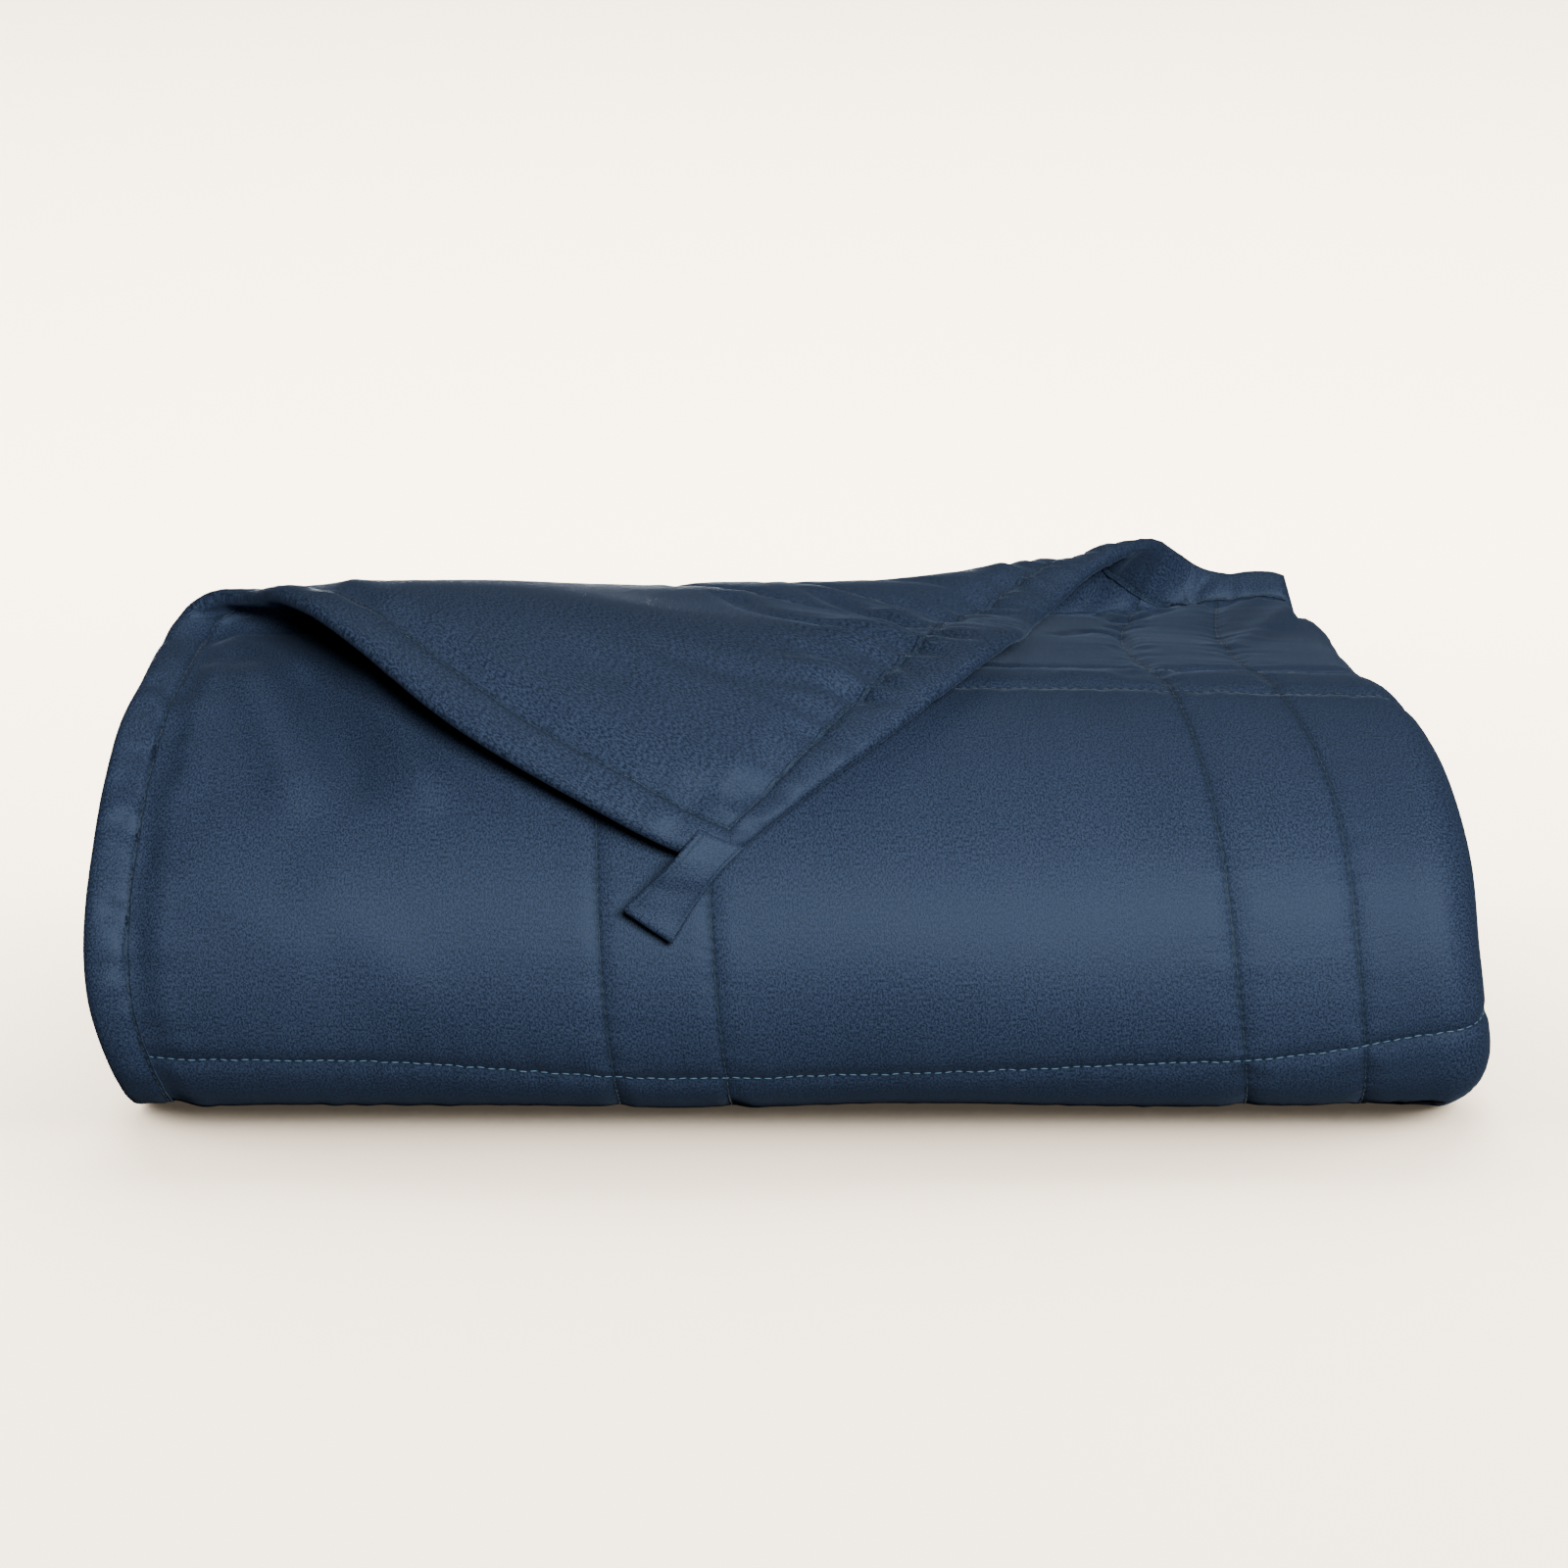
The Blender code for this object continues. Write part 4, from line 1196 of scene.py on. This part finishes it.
def tape_cloth():
    """The loop's tape, with a dip and painted shade where a row of stitches runs near each edge."""
    shader = Shader("navy tape")
    run, place = shader.cloth(0), shader.cloth(1)
    shade, height = weave(shader, place, run, 0.8)
    from_edge = place.least(LOOP_WIDTH - place)
    seam_dip_and_shade = ditch(from_edge - 0.0016, 0.0006)
    relief = height - seam_dip_and_shade * 0.18
    amount = (0.52 + shade).step(0.0, 1.0)
    colour = shader.blend(amount, NAVY_DEEP, NAVY_LIGHT)
    return shader.finish(
        # Painted shade in the stitch lines' dip, in this darker navy.
        Base_Color=shader.blend(seam_dip_and_shade * 0.4, colour, (0.012, 0.024, 0.042)),
        Roughness=0.54 + shade * 0.15,
        Normal=shader.bump(relief),
        Specular_IOR_Level=0.30,
        **{**SHEEN, "Sheen_Weight": 0.10, "Sheen_Roughness": 0.4},
    )


def thread_colour(name, colour):
    """Thread with a fine twist, lighter and darker than its colour by turns."""
    shader = Shader(name)
    place = shader.add("ShaderNodeTexCoord", {}, {}, 3)
    twist = shader.noise(place, scale=2600, detail=1.0)
    darker, lighter = (tuple(share * c for c in colour) for share in (0.7, 1.3))
    return shader.finish(
        Base_Color=shader.blend(twist, darker, lighter),
        Roughness=0.55 + twist * 0.1,
        Sheen_Weight=0.2,
        Sheen_Roughness=0.4,
    )


for piece, material in ((blanket, sateen()), (binding, binding_cloth()), (loop, tape_cloth())):
    piece.data.materials.append(material)
# One navy thread in two painted copies: a darker one, painted shade for the ditches it lies in, and a
# paler one, a painted highlight where the line at PALE_T catches the light.
thread = thread_colour("navy thread", (0.022, 0.038, 0.066))
highlit_thread = thread_colour("highlit thread", (0.085, 0.165, 0.260))
print("materials", [material.name for material in bpy.data.materials])

# %% Sew the quilting, the binding and the loop
tree = stitch_tree()
LAST_U = OUTER_PLY_END - 0.012   # the hidden plies are not sewn
ON_CLOTH = 0.0001        # how far the thread's middle is off the cloth
PATH_STEP = 0.002
SEAM_HEIGHT = 0.0015     # from the cloth's middle to the thread on the binding


def path_places(first, last):
    """Places along a sewn line, close enough together to follow the cloth."""
    return np.linspace(first, last, max(int((last - first) / PATH_STEP), 2))


def along_u(t, side, first, last):
    """A sewn line on one side of the cloth, at one t."""
    return surface(path_places(first, last), t, side, ON_CLOTH)


def along_t(u, side, first, last):
    """The same at one u."""
    return surface(u, path_places(first, last), side, ON_CLOTH)


quilting, pale = [], []
for u in [line for line in U_LINES if line < LAST_U]:
    quilting.append(along_t(u, 1, HEM_T, T_END - BINDING_WIDTH))
    if u < CREASE_BACK:
        quilting.append(along_t(u, -1, HEM_T, CREASE_T * (1 - u / CREASE_BACK)))
for t in T_LINES:
    first = sum(RUN_OUT) / 2 if t in T_LINES[:2] else BINDING_WIDTH
    # The line at PALE_T is sewn with the paler copy: a painted highlight.
    (pale if t == PALE_T else quilting).append(along_u(t, 1, first, LAST_U))
quilting_thread = sew("quilting_stitches", quilting, tree, thread)
highlit_stitches = sew("highlit_stitches", pale, tree, highlit_thread)


def seam_path(side):
    """The binding's row of stitches on one side of the cloth."""
    walk = edge_walk()
    u, t = walk[:, 0] + walk[:, 2] * SEAM, walk[:, 1] + walk[:, 3] * SEAM
    height = side * SEAM_HEIGHT + unevenness(u, t)
    points = above_floor(sheet(u, t) + height[:, None] * facing(u, t))
    return np.concatenate([points, points[:1]])


seams = sew("binding_stitches", [seam_path(1), seam_path(-1)], tree, thread)

# %% [markdown]
#
# Every piece rides on the one body.  The three cloth pieces stand for the plain solids of the
# frame, which are hidden.

# %% Rides, and the plain solids hidden
for piece, node, slot in (
    (blanket, "quilted_blanket", "sateen"),
    (binding, "binding", "edging"),
    (loop, "corner_loop", "tape"),
):
    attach(piece, "root")
    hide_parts(node)
for piece in (quilting_thread, highlit_stitches, seams):
    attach(piece, "root")

around = 2 * (U_END + T_END)

# %% [markdown]
# ## Floor, light and camera
#
# The blanket lies on a plain pale sweep.  A wide soft lamp stands in front, above it and to its
# right, so the rounded front is brightest where it faces the lamp, and the hollow under the turned
# corner and the underside are dark.  Weaker lamps light the top and the back.  The paper has
# lamps of its own: they keep it evenly pale without washing out the dark cloth.

# %% A pale sweep
PAPER = (0.92, 0.765, 0.585)
PAPER_GLOW = 0.08
PAPER_REACH = 12.0       # how far it goes to the front and to each side
PAPER_BACK, PAPER_RISE, PAPER_RADIUS = 2.6, 2.8, 1.2


def sweep():
    """Paper that lies flat and bends up behind."""
    start = PAPER_BACK - PAPER_RADIUS
    profile = [(-PAPER_REACH, 0.0), (start, 0.0)]
    for i in range(1, 17):
        turn = math.pi / 2 * i / 16
        up = PAPER_RADIUS * (1 - math.cos(turn))
        profile.append((start + PAPER_RADIUS * math.sin(turn), up))
    profile.append((PAPER_BACK, PAPER_RISE))
    verts = [(x, y, z) for x in (-PAPER_REACH, PAPER_REACH) for y, z in profile]
    n = len(profile)
    faces = [(i, n + i, n + i + 1, i + 1) for i in range(n - 1)]
    mesh = bpy.data.meshes.new("sweep")
    mesh.from_pydata(verts, [], faces)
    mesh.polygons.foreach_set("use_smooth", np.ones(len(faces), bool))
    piece = bpy.data.objects.new("sweep", mesh)
    bpy.context.scene.collection.objects.link(piece)
    shader = Shader("pale paper")
    mesh.materials.append(shader.finish(
        Base_Color=(*PAPER, 1.0),
        Roughness=0.9,
        Specular_IOR_Level=0.1,
        Emission_Color=(*PAPER, 1.0),
        Emission_Strength=PAPER_GLOW,
    ))
    piece.visible_diffuse = piece.visible_glossy = False
    return piece


TABLE_HALF, TABLE_FRONT, TABLE_BACK, TABLE_TOP = 4.5, -3.5, 3.0, -0.004


def table():
    """A dark table under the paper, so that little light comes back up to the blanket."""
    mesh = bpy.data.meshes.new("table")
    corners = [(-1, TABLE_FRONT), (1, TABLE_FRONT), (1, TABLE_BACK), (-1, TABLE_BACK)]
    mesh.from_pydata([(x * TABLE_HALF, y, TABLE_TOP) for x, y in corners], [], [(0, 1, 2, 3)])
    piece = bpy.data.objects.new("table", mesh)
    bpy.context.scene.collection.objects.link(piece)
    shader = Shader("dark table")
    mesh.materials.append(shader.finish(Base_Color=(0.05, 0.05, 0.05, 1.0), Roughness=0.9))
    return piece


floor = sweep()
table()

# %% Soft light
blanket_pieces = [blanket, binding, loop, quilting_thread, highlit_stitches, seams]
LIGHTS = [  # name, place, aim, size, watts, what it lights
    ("front", (0.50, -1.80, 0.82), (0.02, 0.0, 0.09), (0.9, 0.30), 50, blanket_pieces),
    ("top", (0.25, 0.35, 2.0), (0.0, 0.0, 0.1), (1.8, 1.4), 7, blanket_pieces),
    ("behind", (-0.4, 1.9, 0.15), (0.0, 0.0, 0.07), (1.6, 0.2), 16, blanket_pieces),
    ("paper from behind", (0.0, 1.6, 1.5), (0.0, 0.0, 0.0), (3.0, 1.8), 310, [floor]),
    ("paper from the left", (-2.2, 0.1, 1.3), (0.0, 0.1, 0.0), (2.4, 2.0), 240, [floor]),
    ("paper from the right", (2.2, 0.1, 1.3), (0.0, 0.1, 0.0), (2.4, 2.0), 280, [floor]),
    ("paper from above", (0.0, 0.3, 2.3), (0.0, 0.3, 0.0), (2.4, 2.4), 30, [floor]),
]


def soft_light(name, place, aim, size, power, only):
    """A soft rectangle of light that reaches only the given pieces."""
    light = bpy.data.lights.new(name, "AREA")
    light.shape = "RECTANGLE"
    light.size, light.size_y = size
    light.energy = power
    lamp = bpy.data.objects.new(name, light)
    lamp.location = place
    away = np.array(place) - np.array(aim)
    flat = math.hypot(away[0], away[1])
    lamp.rotation_euler = (math.atan2(flat, away[2]), 0.0, math.atan2(away[0], -away[1]))
    bpy.context.scene.collection.objects.link(lamp)
    lit = bpy.data.collections.new(name + " lights")
    for piece in only:
        lit.objects.link(piece)
    lamp.light_linking.receiver_collection = lit


for light in LIGHTS:
    soft_light(*light)
world = bpy.data.worlds.new("studio")
bpy.context.scene.world = world
world.use_nodes = True
background = world.node_tree.nodes["Background"]
background.inputs["Color"].default_value = (0.90, 0.92, 0.95, 1.0)
background.inputs["Strength"].default_value = 0.025
print("lights", [name for name, *_ in LIGHTS])

# %% Camera
ELEVATION = math.radians(12.0)
DISTANCE = 1.16
TARGET = (-0.0022, 0.0082, 0.0823)
LENS, SENSOR = 73.8, 36.0   # in millimetres
camera = bpy.data.cameras.new("camera")
camera.lens, camera.sensor_width = LENS, SENSOR
eye = bpy.data.objects.new("camera", camera)
eye.location = (
    TARGET[0],
    TARGET[1] - DISTANCE * math.cos(ELEVATION),
    TARGET[2] + DISTANCE * math.sin(ELEVATION),
)
eye.rotation_euler = (math.pi / 2 - ELEVATION, 0.0, 0.0)
bpy.context.scene.collection.objects.link(eye)
bpy.context.scene.camera = eye

# %% Finish
bpy.context.view_layer.update()
